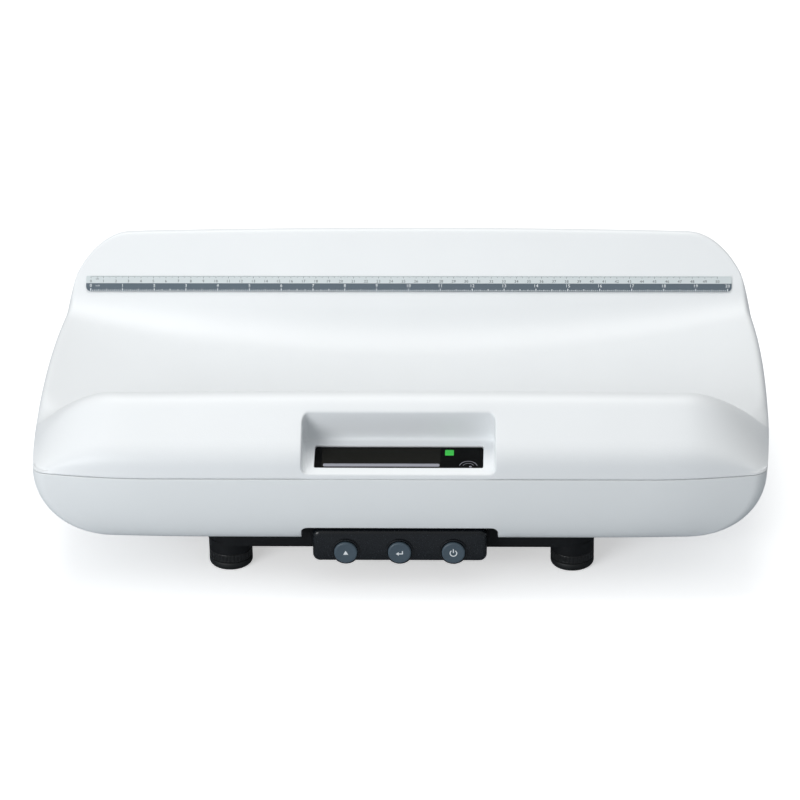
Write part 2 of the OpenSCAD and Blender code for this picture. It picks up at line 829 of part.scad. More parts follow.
// Middle height of the inside of the base
base_mid = base_bottom + base_h / 2;
// Room for the contact plates and their springs at each end of the batteries
contact_room = 3.5;
box_half_x = battery_l + contact_room;
box_half_y = battery_rows * battery_pitch / 2;
battery_z = base_bottom + door_t + 2 * knob_gap + cell_dia / 2;
box_top = battery_z + cell_dia / 2 + knob_gap + box_wall;
// Main board: half its width, its distance from the base's front, its depth and its height on its posts
board_half = 60;
board_in = 14;
board_d = 64;
board_up = 5.5;
board_y0 = base_front + board_in;
board_y1 = board_y0 + board_d;
board_z = base_bottom + base_wall + board_up;
board_post_r = 3.5;
board_post_in = 6;
cover_post_r = 4;
cover_in = 9;
// Distances of the cover's screws from the feet and from the battery box, along the tray
cover_from_foot = 30;
cover_from_box = 22;
cover_points = concat(
    [for (sx = [-1, 1]) [sx * (foot_x - cover_from_foot), base_front + cover_in]],
    [for (sx = [-1, 1]) [sx * (box_half_x + cover_from_box), base_back - cover_in]],
    [for (sx = [-1, 1]) [sx * (base_w / 2 - cover_in), -cover_in]]);
cover_screw_r = 1.5;
cover_screw_bite = 9;
jack_x = 95;
jack_r = 4.5;
jack_bore_r = 2.8;
jack_depth = 9;
jack_body = 13;
// Half the width and half the height of the opening for the panel's cable
cable_half_x = 12;
cable_half_z = 4;

module base_pan() {
    floor_top = base_bottom + base_wall;
    color(black)
        difference() {
            union() {
                difference() {
                    rounded_plate(base_w / 2, base_front, base_back, base_bottom, base_top, base_r);
                    rounded_plate(base_w / 2 - base_wall, base_front + base_wall, base_back - base_wall,
                        floor_top, base_top + past, base_r - base_wall);
                }
                for (q = foot_points) {
                    rod(q[0], q[1], foot_boss_z0, base_bottom + base_wall / 2, foot_r);
                    rod(q[0], q[1], base_bottom + base_wall / 2, insert_z0 + insert_l, foot_boss_r);
                }
                for (q = cover_points)
                    rod(q[0], q[1], floor_top - base_wall / 2, base_top, cover_post_r);
                for (sx = [-1, 1], y = [board_y0 + board_post_in, board_y1 - board_post_in])
                    rod(sx * (board_half - board_post_in), y, floor_top - base_wall / 2, board_z,
                        board_post_r);
            }
            for (q = foot_points) {
                rod(q[0], q[1], foot_boss_z0 - past, insert_z0 + past, foot_screw_r + 5 * fit);
                rod(q[0], q[1], insert_z0, insert_z0 + insert_l + past, insert_r + fit / 2);
            }
            for (q = cover_points)
                rod(q[0], q[1], base_top - cover_screw_bite - past, base_top + past, cover_screw_r + fit);
            for (x = fixed_x)
                rod(x, 0, base_bottom - past, floor_top + past, cell_screw_r + fit);
            block(-box_half_x, box_half_x, box_y - box_half_y, box_y + box_half_y,
                base_bottom - past, floor_top + past);
            translate([jack_x, base_back + past, base_mid])
                rotate([90, 0, 0])
                    cylinder(h = base_wall + 2 * past, r = jack_r + fit);
            block(-cable_half_x, cable_half_x, base_front - past, base_front + base_wall + past,
                base_mid - cable_half_z, base_mid + cable_half_z);
        }
}

module base_cover() {
    color(black)
        difference() {
            rounded_plate(base_w / 2, base_front, base_back, base_top, cover_top, base_r);
            block(-cover_slot_x, cover_slot_x, -cover_slot_y, cover_slot_y, base_top - past,
                cover_top + past);
            for (q = cover_points)
                rod(q[0], q[1], base_top - past, cover_top + past, cover_screw_r + fit);
            rod(0, display_post_y, base_top - past, cover_top + past, cable_half_z);
        }
}

module cover_screws() {
    color(steel)
        for (q = cover_points)
            screw(q[0], q[1], cover_top, cover_t + cover_screw_bite, cover_screw_r, 2 * cover_screw_r,
                cover_screw_r, -1);
}

module overload_stops() {
    stop_x = carrier_x - 2 * carrier_edge - stop_r;
    color(steel)
        for (sx = [-1, 1], y = [-carrier_y_front, carrier_y_back]) {
            rod(sx * stop_x, y, cover_top, carrier_z0 - stop_gap, stop_r);
            translate([sx * stop_x, y, cover_top])
                difference() {
                    cylinder(h = stop_r / 2, r = stop_r * 1.6, $fn = 6);
                    translate([0, 0, -past])
                        cylinder(h = stop_r, r = stop_r);
                }
        }
}

// Display unit
housing_edge = 4;
housing_wall = 2;
// Depth of the frame between the housing and the window
window_seat = 0.8;
housing_top = -window_sunk - window_t - window_seat;
housing_y0 = -window_back - window_d - 2;
housing_y1 = -2;
housing_z0 = housing_top - display_h + housing_wall;
window_z0 = -window_sunk - window_t;
window_y0 = -window_back - window_d;
window_mid = -window_back - window_d / 2;
lcd_z1 = window_z0 - 3 * fit;
lcd_z0 = lcd_z1 - lcd_t;
display_board_z1 = lcd_z0 - 5 * fit;
display_board_z0 = display_board_z1 - board_t;
display_post_y = base_front + base_wall + post_w / 2;
// Width of the ledge that carries the window
ledge = 1.8;
// Posts that carry the display board: their radius and their distances from the housing's sides
board_pin_r = 2.5;
board_pin_in_x = 7;
board_pin_in_y = 5;

module display_housing() {
    half = window_w / 2 + housing_edge;
    color(black)
        difference() {
            union() {
                at_display() {
                    block(-half, half, housing_y0, housing_y1, housing_z0, housing_top);
                    block(-window_w / 2, window_w / 2, window_y0, -window_back, housing_top - fit, window_z0);
                }
                difference() {
                    for (sx = [-1, 1])
                        block(sx * post_x - post_w / 2, sx * post_x + post_w / 2,
                            display_post_y - post_w / 2, display_post_y + post_w / 2,
                            cover_top, recess_floor_h);
                    at_display()
                        block(-half, half, -2 * recess_deep, recess_deep,
                            housing_z0 + housing_wall / 2, recess_deep);
                }
            }
            at_display() {
                difference() {
                    block(-half + housing_wall, half - housing_wall, housing_y0 + housing_wall,
                        housing_y1 - housing_wall, housing_z0 + housing_wall, housing_top - housing_wall);
                    for (sx = [-1, 1], y = [housing_y0 + board_pin_in_y, housing_y1 - board_pin_in_y])
                        rod(sx * (half - board_pin_in_x), y, housing_z0, display_board_z0, board_pin_r);
                }
                block(-window_w / 2 + ledge, window_w / 2 - ledge, window_y0 + ledge,
                    -window_back - ledge, housing_top - housing_wall - past, past);
            }
        }
}

module display_window() {
    color([0.05, 0.05, 0.06])
        at_display()
            block(-window_w / 2, window_w / 2, window_y0, -window_back, window_z0, -window_sunk);
}

module lcd_glass() {
    color([0.16, 0.16, 0.15])
        at_display()
            block(-lcd_left - lcd_w / 2, -lcd_left + lcd_w / 2, window_mid - lcd_d / 2,
                window_mid + lcd_d / 2, lcd_z0, lcd_z1);
}

module display_board() {
    half = window_w / 2 - housing_wall;
    color([0.1, 0.3, 0.18])
        at_display()
            block(-half, half, housing_y0 + housing_wall + 5 * fit, housing_y1 - housing_wall - 5 * fit,
                display_board_z0, display_board_z1);
}

module verification_mark() {
    mark_x = level_x - 1.1 * level_dia;
    mark_y = -window_back - mark_w;
    color(green)
        at_display()
            block(mark_x - mark_w / 2, mark_x + mark_w / 2, mark_y - mark_w / 2, mark_y + mark_w / 2,
                -window_sunk, -window_sunk + fit);
}

// Thickness of the spirit level's clear wall
level_wall = 1;
// The spirit level keeps clear of the edge of the opening under the window
level_y = window_y0 + level_dia / 2 + ledge / 2 + 3 * fit;

module level_body() {
    color([0.75, 0.8, 0.72])
        at_display()
            difference() {
                rod(level_x, level_y, display_board_z1 + fit, lcd_z1, level_dia / 2 - ledge / 2);
                rod(level_x, level_y, display_board_z1 - past, lcd_z1 - level_wall,
                    level_dia / 2 - ledge / 2 - level_wall);
            }
}

module level_bubble() {
    color([0.9, 0.95, 0.85])
        at_display()
            rod(level_x, level_y, display_board_z1 + 3 * fit, lcd_z1 - level_wall - fit, bubble_dia / 2);
}

// Control panel
panel_top = panel_bottom + panel_h;
button_z = panel_bottom + button_up;
button_r = button_dia / 2;
button_x = [for (i = [0 : button_count - 1]) (i - (button_count - 1) / 2) * button_pitch];
panel_inner = panel_face + panel_wall;
tab_t = 1.4;
tab_y0 = panel_inner + 2 * fit;
cap_back = panel_face - button_travel - 2 * fit;
switch_front = tab_y0 + tab_t + button_travel + 9 * fit;
keypad_y0 = switch_front + switch_t;
keypad_y1 = keypad_y0 + board_t;
stem_r = 2.8;
// Half the height of the tabs behind the panel, and how far they reach beyond the plungers
tab_half_z = 4;
tab_reach = 3;
keypad_post_r = 2;
// Heights of the keypad's posts and edges below and above the buttons' middle
keypad_post_down = 4;
keypad_post_up = 6;
keypad_down = 6.5;
keypad_up = 9;

module rod_y(x, z, y0, y1, r) {
    translate([x, y1, z])
        rotate([90, 0, 0])
            cylinder(h = y1 - y0, r = r);
}

module panel_section(inset) {
    r = panel_r - inset > 1 ? panel_r - inset : 1;
    y0 = panel_face + inset;
    z0 = panel_bottom + inset;
    z1 = panel_top - inset;
    union() {
        translate([y0 + r, z0])
            square([base_front - y0 - r + (inset > 0 ? past : 0), z1 - z0]);
        translate([y0, z0])
            square([r, z1 - z0 - r]);
        translate([y0 + r, z1 - r])
            circle(r);
    }
}

module panel_housing() {
    color(black)
        difference() {
            union() {
                difference() {
                    along_x(panel_w / 2)
                        panel_section(0);
                    along_x(panel_w / 2 - panel_wall)
                        panel_section(panel_wall);
                }
                for (sx = [-1, 1], z = [button_z - keypad_post_down, button_z + keypad_post_up])
                    rod_y(sx * (panel_w / 2 - 2.6 * panel_wall), z, panel_inner - panel_wall / 2, keypad_y0,
                        keypad_post_r);
                for (x = button_x)
                    rod_y(x, button_z, panel_face - collar_out, panel_face + panel_wall / 2,
                        button_r + button_gap + collar_w);
            }
            for (x = button_x) {
                rod_y(x, button_z, panel_face - collar_out - past, panel_face, button_r + button_gap);
                rod_y(x, button_z, panel_face - past, panel_inner + past, plunger_r + button_gap);
            }
        }
}

module keypad_board() {
    half = panel_w / 2 - panel_wall - 5 * fit;
    color([0.1, 0.3, 0.18])
        block(-half, half, keypad_y0, keypad_y1, button_z - keypad_down, button_z + keypad_up);
}

module button(x) {
    front = panel_face - button_out;
    edge = 0.8;
    color([0.22, 0.27, 0.29])
        union() {
            rod_y(x, button_z, front + edge, cap_back, button_r);
            translate([x, front + edge, button_z])
                rotate([90, 0, 0])
                    rotate_extrude()
                        union() {
                            square([button_r - edge, edge]);
                            intersection() {
                                translate([button_r - edge, 0])
                                    circle(edge);
                                square([button_r, edge]);
                            }
                        }
            rod_y(x, button_z, cap_back - fit, tab_y0 + tab_t, plunger_r);
            block(x - plunger_r - tab_reach, x + plunger_r + tab_reach, tab_y0, tab_y0 + tab_t,
                button_z - tab_half_z, button_z + tab_half_z);
            rod_y(x, button_z, tab_y0, keypad_y0 - button_travel - 10 * fit, stem_r);
        }
}

module button_left() {
    button(button_x[0]);
}

module button_middle() {
    button(button_x[1]);
}

module button_right() {
    button(button_x[2]);
}

module key_switch(x) {
    color([0.12, 0.12, 0.13])
        difference() {
            block(x - switch_w / 2, x + switch_w / 2, switch_front, keypad_y0, button_z - switch_w / 2,
                button_z + switch_w / 2);
            rod_y(x, button_z, switch_front - past, keypad_y0 - 5 * fit, stem_r + 3 * fit);
        }
}

module switch_left() {
    key_switch(button_x[0]);
}

module switch_middle() {
    key_switch(button_x[1]);
}

module switch_right() {
    key_switch(button_x[2]);
}

// Electronics and batteries
module main_board() {
    color([0.1, 0.3, 0.18])
        block(-board_half, board_half, board_y0, board_y1, board_z, board_z + board_t);
}

// A part on the board with its middle at x, y
module chip(x, y, w, d, h) {
    top = board_z + board_t;
    block(x - w / 2, x + w / 2, y - d / 2, y + d / 2, top, top + h);
}

// Processor, amplifier, the two plugs at the board's edges and a row of capacitors
processor = [16, 16, 1.6];
amplifier = [12, 10, 1.4];
plug = [20, 6, 5];
can_r = 3.5;
can_h = 8;
can_x = 28;
can_pitch = 10;
can_count = 3;
part_x = 32;

module board_parts() {
    top = board_z + board_t;
    mid_y = (board_y0 + board_y1) / 2;
    color([0.1, 0.1, 0.11]) {
        chip(0, mid_y, processor[0], processor[1], processor[2]);
        chip(-part_x, mid_y, amplifier[0], amplifier[1], amplifier[2]);
        chip(0, board_y0 + plug[2], plug[0], plug[1], plug[2]);
        chip(-part_x, board_y1 - plug[2], plug[0], plug[1], plug[2]);
        for (i = [0 : can_count - 1])
            rod(can_x + can_pitch * i, mid_y, top, top + can_h, can_r);
    }
}

module battery_box() {
    color([0.13, 0.13, 0.14])
        difference() {
            block(-box_half_x - box_wall, box_half_x + box_wall, box_y - box_half_y - box_wall,
                box_y + box_half_y + box_wall, base_bottom + base_wall, box_top);
            block(-box_half_x, box_half_x, box_y - box_half_y, box_y + box_half_y,
                base_bottom, box_top - box_wall);
        }
}

module along_x_rod(x0, x1, y, z, r) {
    translate([x0, y, z])
        rotate([0, 90, 0])
            cylinder(h = x1 - x0, r = r);
}

row_y = [for (i = [0 : battery_rows - 1]) box_y + (i - (battery_rows - 1) / 2) * battery_pitch];
nub = 1;

module batteries() {
    color([0.25, 0.35, 0.5])
        for (y = row_y, x = [-battery_l, 0])
            union() {
                along_x_rod(x + fit, x + battery_l - nub - fit, y, battery_z, cell_dia / 2);
                along_x_rod(x + fit, x + battery_l - fit, y, battery_z, cell_dia / 5);
            }
}

module battery_contacts() {
    plate_t = 0.5;
    plate_x0 = box_half_x - plate_t;
    plate_half = 5;
    spring_r = 3;
    color(brass)
        for (y = row_y, sx = [-1, 1])
            translate([0, y, battery_z])
                union() {
                    block(sx > 0 ? plate_x0 : -box_half_x, sx > 0 ? box_half_x : -plate_x0,
                        -plate_half, plate_half, -plate_half, plate_half);
                    along_x_rod(sx > 0 ? battery_l + fit : -plate_x0 - fit,
                        sx > 0 ? plate_x0 + fit : -battery_l - fit, 0, 0, spring_r);
                }
}

module battery_door() {
    half_x = box_half_x - door_gap;
    half_y = box_half_y - door_gap;
    grip_r = 6;
    color(black)
        difference() {
            block(-half_x, half_x, box_y - half_y, box_y + half_y, base_bottom, base_bottom + door_t);
            rod(0, box_y + half_y - 1.5 * grip_r, base_bottom - past, base_bottom + door_t / 2, grip_r);
        }
}

module power_jack() {
    color([0.1, 0.1, 0.11])
        difference() {
            union() {
                block(jack_x - jack_body / 2, jack_x + jack_body / 2, base_back - base_wall - jack_body,
                    base_back - base_wall, base_mid - jack_body / 2, base_mid + jack_body / 2);
                rod_y(jack_x, base_mid, base_back - base_wall - fit, base_back, jack_r);
            }
            rod_y(jack_x, base_mid, base_back - jack_depth, base_back + past, jack_bore_r);
        }
}

module foot_inserts() {
    color(brass)
        for (q = foot_points)
            difference() {
                rod(q[0], q[1], insert_z0, insert_z0 + insert_l, insert_r);
                rod(q[0], q[1], insert_z0 - past, insert_z0 + insert_l + past, foot_screw_r + screw_play);
            }
}

// A blank plate under the base, in front of the battery door
plate_x = 112;
plate_w = 52;
plate_d = 30;
plate_gap = 20;

module rating_plate() {
    color([0.8, 0.82, 0.83])
        block(-plate_x, -plate_x + plate_w, box_y - plate_gap - plate_d, box_y - plate_gap,
            base_bottom - 4 * fit, base_bottom);
}

// Feet
pin_r = foot_screw_r;
pin_play = 0.05;
pin_deep = 3;

module foot_pad(q) {
    color([0.06, 0.06, 0.07])
        translate([q[0], q[1], 0])
            difference() {
                rotate_extrude()
                    union() {
                        square([foot_r - pad_edge, pad_edge]);
                        translate([0, pad_edge])
                            square([foot_r, pad_h - pad_edge]);
                        intersection() {
                            translate([foot_r - pad_edge, pad_edge])
                                circle(pad_edge);
                            square([foot_r, pad_edge]);
                        }
                    }
                translate([0, 0, pad_h - pin_deep - 2 * fit])
                    cylinder(h = pad_h, r = pin_r + pin_play);
            }
}

module foot_screw(q) {
    grip = 0.8;
    color([0.1, 0.1, 0.11])
        translate([q[0], q[1], 0])
            union() {
                translate([0, 0, pad_h - pin_deep])
                    cylinder(h = knob_z1 + foot_screw_l - pad_h + pin_deep, r = foot_screw_r);
                translate([0, 0, knob_z0])
                    cylinder(h = grip, r = foot_r - grip);
                translate([0, 0, knob_z0 + grip])
                    cylinder(h = knob_h - 2 * grip, r = foot_r);
                translate([0, 0, knob_z1 - grip])
                    cylinder(h = grip, r = foot_r - grip);
            }
}

module foot_pad_front_left() {
    foot_pad(foot_points[0]);
}

module foot_pad_front_right() {
    foot_pad(foot_points[1]);
}

module foot_pad_back_left() {
    foot_pad(foot_points[2]);
}

module foot_pad_back_right() {
    foot_pad(foot_points[3]);
}

module foot_screw_front_left() {
    foot_screw(foot_points[0]);
}

module foot_screw_front_right() {
    foot_screw(foot_points[1]);
}

module foot_screw_back_left() {
    foot_screw(foot_points[2]);
}

module foot_screw_back_right() {
    foot_screw(foot_points[3]);
}

weighing_tray();
lower_shell();
measuring_strip();
strip_inch_band();
platform_carrier();
carrier_screws();
shell_screws();
load_cell();
cell_plate();
cell_spacer();
cell_fixed_screws();
cell_free_screws();
base_pan();
base_cover();
cover_screws();
overload_stops();
display_housing();
display_window();
lcd_glass();
display_board();
verification_mark();
level_body();
level_bubble();
panel_housing();
keypad_board();
button_left();
button_middle();
button_right();
switch_left();
switch_middle();
switch_right();
main_board();
board_parts();
battery_box();
batteries();
battery_contacts();
battery_door();
power_jack();
foot_inserts();
rating_plate();
foot_pad_front_left();
foot_pad_front_right();
foot_pad_back_left();
foot_pad_back_right();
foot_screw_front_left();
foot_screw_front_right();
foot_screw_back_left();
foot_screw_back_right();
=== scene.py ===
# %% [markdown]
# # A digital baby scale
# A white moulded trough for a lying baby stands on a black base with four levelling feet. The display is sunk
# into the front of the trough, and a dark panel with three round buttons hangs below it. This lesson dresses
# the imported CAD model: the big white mouldings are worked out again as dense smooth surfaces, the small parts
# get their rounded edges and printing, and every piece gets a material that follows the real one.

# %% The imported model
import math

import bmesh
import bpy
import numpy as np
from mathutils import Matrix, Vector


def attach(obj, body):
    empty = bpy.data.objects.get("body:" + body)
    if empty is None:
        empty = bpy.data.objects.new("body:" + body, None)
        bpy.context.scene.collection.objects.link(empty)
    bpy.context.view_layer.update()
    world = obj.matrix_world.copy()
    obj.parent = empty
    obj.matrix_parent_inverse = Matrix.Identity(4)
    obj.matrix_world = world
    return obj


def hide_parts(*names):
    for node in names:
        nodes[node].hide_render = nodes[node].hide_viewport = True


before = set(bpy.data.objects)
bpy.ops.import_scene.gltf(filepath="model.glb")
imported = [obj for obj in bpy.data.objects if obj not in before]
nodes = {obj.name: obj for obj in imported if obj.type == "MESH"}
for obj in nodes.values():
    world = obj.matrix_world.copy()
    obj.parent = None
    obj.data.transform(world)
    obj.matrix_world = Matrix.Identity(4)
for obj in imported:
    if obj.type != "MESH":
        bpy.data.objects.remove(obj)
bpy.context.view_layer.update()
scene = bpy.context.scene

# %% [markdown]
# ## The camera
# The photograph was taken from far away with a long lens, a little from the right and from above, so the
# scale looks nearly parallel. The camera is a matrix built from its three directions: back, right and up.
# Comparing feet, buttons and the ends of the measuring strip with the photograph gave the numbers.

# %% The camera
MM = 0.001
camera_up = math.radians(27.48)
camera_round = math.radians(2.07)
camera_roll = math.radians(-0.85)
camera_away = 3409 * MM
camera_aim = Vector((-3.5, 0, 79)) * MM
FOCAL_PX, PHOTO_PX, SENSOR_MM = 4384, 800, 36

back = Vector((math.sin(camera_round) * math.cos(camera_up), -math.cos(camera_round) * math.cos(camera_up),
               math.sin(camera_up)))
right = (-back).cross(Vector((0, 0, 1))).normalized()
up = right.cross(-back)
turned_right = right * math.cos(camera_roll) + up * math.sin(camera_roll)
turned_up = up * math.cos(camera_roll) - right * math.sin(camera_roll)

camera = bpy.data.objects.new("camera", bpy.data.cameras.new("camera"))
scene.collection.objects.link(camera)
camera.data.lens = FOCAL_PX * SENSOR_MM / PHOTO_PX
camera.data.clip_end = 20
camera.matrix_world = Matrix.Translation(camera_aim + back * camera_away) @ Matrix(
    (turned_right, turned_up, back)).transposed().to_4x4()
scene.camera = camera
scene.view_settings.view_transform = "Standard"
print("lens:", round(camera.data.lens, 1), "mm")

# %% [markdown]
# ## Light and floor
# Such a product photograph is lit by large soft lamps in a white room. Two area lamps and a pale world,
# brighter overhead than at the horizon, do the same. The camera sees a white room and a white floor with the
# object's shadow. What the floor reflects to the object is darker, so the lower sides keep their shade.


# %% Helpers for materials
def linear(hex_colour):
    """The linear value of each sRGB channel c: c / 12.92 below 0.04045, else ((c + 0.055) / 1.055) ** 2.4."""
    channels = [int(hex_colour[i:i + 2], 16) / 255 for i in (1, 3, 5)]
    return tuple(c / 12.92 if c <= 0.04045 else ((c + 0.055) / 1.055) ** 2.4 for c in channels) + (1.0,)


def add(tree, kind, settings=None, sockets=(), **links):
    """Adds a node and sets its properties and inputs from settings. Sockets of other nodes are linked to its
    inputs in order, and links to the inputs of that name."""
    node = tree.nodes.new(kind)
    for name, value in (settings or {}).items():
        if name in node.inputs:
            node.inputs[name].default_value = value
        else:
            setattr(node, name, value)
    for socket, entry in zip(sockets, node.inputs):
        tree.links.new(socket, entry)
    for name, socket in links.items():
        tree.links.new(socket, node.inputs[name.replace("_", " ")])
    return node


def new_material(name):
    """An empty material with its output node; returns the material, its tree and the output."""
    material = bpy.data.materials.new(name)
    material.use_nodes = True
    tree = material.node_tree
    tree.nodes.clear()
    return material, tree, add(tree, "ShaderNodeOutputMaterial")


# %% World, lamps and floor
world = bpy.data.worlds.new("white_room")
scene.world = world
world.use_nodes = True
room = world.node_tree
room.nodes.clear()
rays = add(room, "ShaderNodeLightPath").outputs
seen = add(room, "ShaderNodeMath", {"operation": "MAXIMUM"}, (rays["Is Camera Ray"], rays["Is Transmission Ray"]))
way = add(room, "ShaderNodeTexCoord").outputs["Generated"]
height = add(room, "ShaderNodeSeparateXYZ", Vector=way).outputs["Z"]
from_above = add(room, "ShaderNodeMapRange", {"To Min": 0.27, "To Max": 0.6}, Value=height)
lit = add(room, "ShaderNodeBackground", {"Color": linear("#f7f9fa")}, Strength=from_above.outputs[0])
white = add(room, "ShaderNodeBackground", {"Color": (1, 1, 1, 1), "Strength": 1.0})
mixed_room = add(room, "ShaderNodeMixShader", sockets=(seen.outputs[0], lit.outputs[0], white.outputs[0]))
add(room, "ShaderNodeOutputWorld", Surface=mixed_room.outputs[0])


def lamp(name, place, aim, width, depth, power, colour):
    """An area lamp of width by depth metres at place, turned towards aim."""
    light = bpy.data.lights.new(name, "AREA")
    light.shape = "RECTANGLE"
    light.size, light.size_y = width, depth
    light.energy = power
    light.color = linear(colour)[:3]
    thing = bpy.data.objects.new(name, light)
    scene.collection.objects.link(thing)
    thing.location = place
    thing.rotation_euler = (Vector(aim) - Vector(place)).to_track_quat("-Z", "Y").to_euler()


lamp("top_lamp", (-0.1, 0.44, 1.68), (0, 0, 0.1), 1.4, 1.0, 13.4, "#fffefc")
lamp("side_lamp", (-1.35, -1.9, 0.72), (0, 0, 0.08), 1.2, 0.9, 26, "#fdfeff")

floor_material, tree, out = new_material("painted_floor")
floor_paint = add(tree, "ShaderNodeBsdfDiffuse", {"Color": linear("#f2f3f4")})
floor_glow = add(tree, "ShaderNodeEmission", {"Color": (1, 1, 1, 1), "Strength": 0.5})
floor_lit = add(tree, "ShaderNodeAddShader", sockets=(floor_paint.outputs[0], floor_glow.outputs[0]))
floor_bounce = add(tree, "ShaderNodeBsdfDiffuse", {"Color": linear("#afb5bb")})
floor_seen = add(tree, "ShaderNodeLightPath").outputs["Is Camera Ray"]
mixed_floor = add(tree, "ShaderNodeMixShader", sockets=(floor_seen, floor_bounce.outputs[0], floor_lit.outputs[0]))
tree.links.new(mixed_floor.outputs[0], out.inputs["Surface"])

floor_mesh = bpy.data.meshes.new("floor")
floor_mesh.from_pydata([(-4, -4, 0), (4, -4, 0), (4, 6, 0), (-4, 6, 0)], [], [(0, 1, 2, 3)])
floor_mesh.materials.append(floor_material)
floor = bpy.data.objects.new("floor", floor_mesh)
scene.collection.objects.link(floor)

# %% [markdown]
# ## Materials
# Each one is named for the real material and how its surface was made. Moulded plastic has a base colour that
# is hardly ever quite even, a gloss broken by a fine grain, and the grain itself, which the mould's etching
# leaves. A noise texture on Object coordinates, which are metres, has the grain's size as its period.

# %% Moulded plastic
TINT, GRAIN_GLOSS, GRAIN_HIGH = 0.02, 0.05, 0.1 * MM
CUT_GLOSS, CUT_DEPTH, CUT_HIGH = 0.08, 0.12, 0.05 * MM


def broken_up(tree, noise, roughness, spread, strength, high):
    """What a noise does to a surface: its roughness varies by spread, and its bumps are high metres high."""
    gloss = add(tree, "ShaderNodeMapRange", {"To Min": roughness - spread, "To Max": roughness + spread},
                Value=noise.outputs["Fac"])
    relief = add(tree, "ShaderNodeBump", {"Strength": strength, "Distance": high}, Height=noise.outputs["Fac"])
    return {"Roughness": gloss.outputs[0], "Normal": relief.outputs[0]}


def moulded(name, colour, roughness, grain_mm, grain_depth, specular=0.5):
    """Plastic from an etched mould: noise of grain_mm lifts the surface and varies the gloss."""
    material, tree, out = new_material(name)
    place = add(tree, "ShaderNodeTexCoord").outputs["Object"]
    grain = add(tree, "ShaderNodeTexNoise", {"Scale": 1 / (grain_mm * MM), "Detail": 3, "Roughness": 0.6},
                Vector=place)
    cloud = add(tree, "ShaderNodeTexNoise", {"Scale": 14, "Detail": 2}, Vector=place)
    shade = add(tree, "ShaderNodeMix", {"data_type": "RGBA"}, Factor=cloud.outputs["Fac"])
    base = linear(colour)
    for socket, value in (("A", 1 - TINT), ("B", 1 + TINT)):
        node_socket = [s for s in shade.inputs if s.name == socket and s.type == "RGBA"][0]
        node_socket.default_value = tuple(min(1, c * value) for c in base[:3]) + (1,)
    colour_socket = [s for s in shade.outputs if s.type == "RGBA"][0]
    surface = add(tree, "ShaderNodeBsdfPrincipled", {"IOR": 1.53, "Specular IOR Level": specular},
                  Base_Color=colour_socket,
                  **broken_up(tree, grain, roughness, GRAIN_GLOSS, grain_depth, GRAIN_HIGH))
    tree.links.new(surface.outputs[0], out.inputs["Surface"])
    return material


# %% The finishes of this scale
grained_white = moulded("white_abs_grained", "#eef1f3", 0.42, 0.9, 0.7)
smooth_white = moulded("white_abs_smooth", "#eef1f2", 0.36, 1.4, 0.08)
black_abs = moulded("black_abs_grained", "#0b0d10", 0.5, 0.8, 0.25, specular=0.25)
panel_black = moulded("panel_black_abs", "#0d1116", 0.28, 1.0, 0.08, specular=0.4)
button_grey = moulded("button_slate_abs", "#465560", 0.4, 0.7, 0.1)
foot_rubber = moulded("black_rubber", "#101315", 0.55, 0.8, 0.3, specular=0.4)
foot_black = moulded("foot_black_nylon", "#0f1011", 0.38, 1.0, 0.1)
window_black = moulded("tinted_acrylic_window", "#060707", 0.1, 3.0, 0.0, specular=0.05)
lcd_grey = moulded("unlit_lcd", "#1b1b18", 0.2, 3.0, 0.0, specular=0.05)
lcd_bar = moulded("lcd_edge_bar", "#9a9ba4", 0.25, 3.0, 0.0, specular=0.1)
mark_green = moulded("printed_green", "#46cf55", 0.35, 3.0, 0.0, specular=0.1)
strip_light = moulded("printed_strip_light", "#d2dadc", 0.34, 2.0, 0.03)
strip_dark = moulded("printed_strip_slate", "#5b6872", 0.34, 2.0, 0.03)
ink_dark = moulded("printed_ink_dark", "#4d565c", 0.4, 3.0, 0.0)
ink_white = moulded("printed_ink_white", "#eef2f4", 0.4, 3.0, 0.0)
board_green = moulded("solder_mask_green", "#1c5a38", 0.3, 2.0, 0.05)
battery_sleeve = moulded("battery_sleeve", "#4a5a78", 0.3, 2.0, 0.02)
plate_film = moulded("blank_plate_film", "#cfd3d6", 0.35, 2.0, 0.02)
level_green = moulded("level_tinted_acrylic", "#b9c9a8", 0.12, 2.0, 0.0)


def metal(name, colour, roughness, grain_mm, stretch):
    """A machined or plated metal: noise of grain_mm, drawn out by stretch along X, varies its gloss."""
    material, tree, out = new_material(name)
    place = add(tree, "ShaderNodeTexCoord").outputs["Object"]
    drawn = add(tree, "ShaderNodeMapping", {"Scale": (1 / stretch, 1, 1)}, Vector=place)
    marks = add(tree, "ShaderNodeTexNoise", {"Scale": 1 / (grain_mm * MM), "Detail": 3},
                Vector=drawn.outputs[0])
    surface = add(tree, "ShaderNodeBsdfPrincipled", {"Base Color": linear(colour), "Metallic": 1.0},
                  **broken_up(tree, marks, roughness, CUT_GLOSS, CUT_DEPTH, CUT_HIGH))
    tree.links.new(surface.outputs[0], out.inputs["Surface"])
    return material


zinc_steel = metal("zinc_plated_steel", "#b4b6b8", 0.34, 0.8, 4)
milled_aluminium = metal("milled_aluminium", "#c9cbce", 0.36, 0.6, 8)
turned_brass = metal("turned_brass", "#c9a860", 0.32, 0.5, 3)
print("materials:", len(bpy.data.materials))

# %% [markdown]
# ## Meshes from arrays
# Every new piece below is an array of points that a formula gives, in millimetres, with the faces between
# them. One helper puts such arrays into a mesh in metres, sets the material and joins the piece to its body.


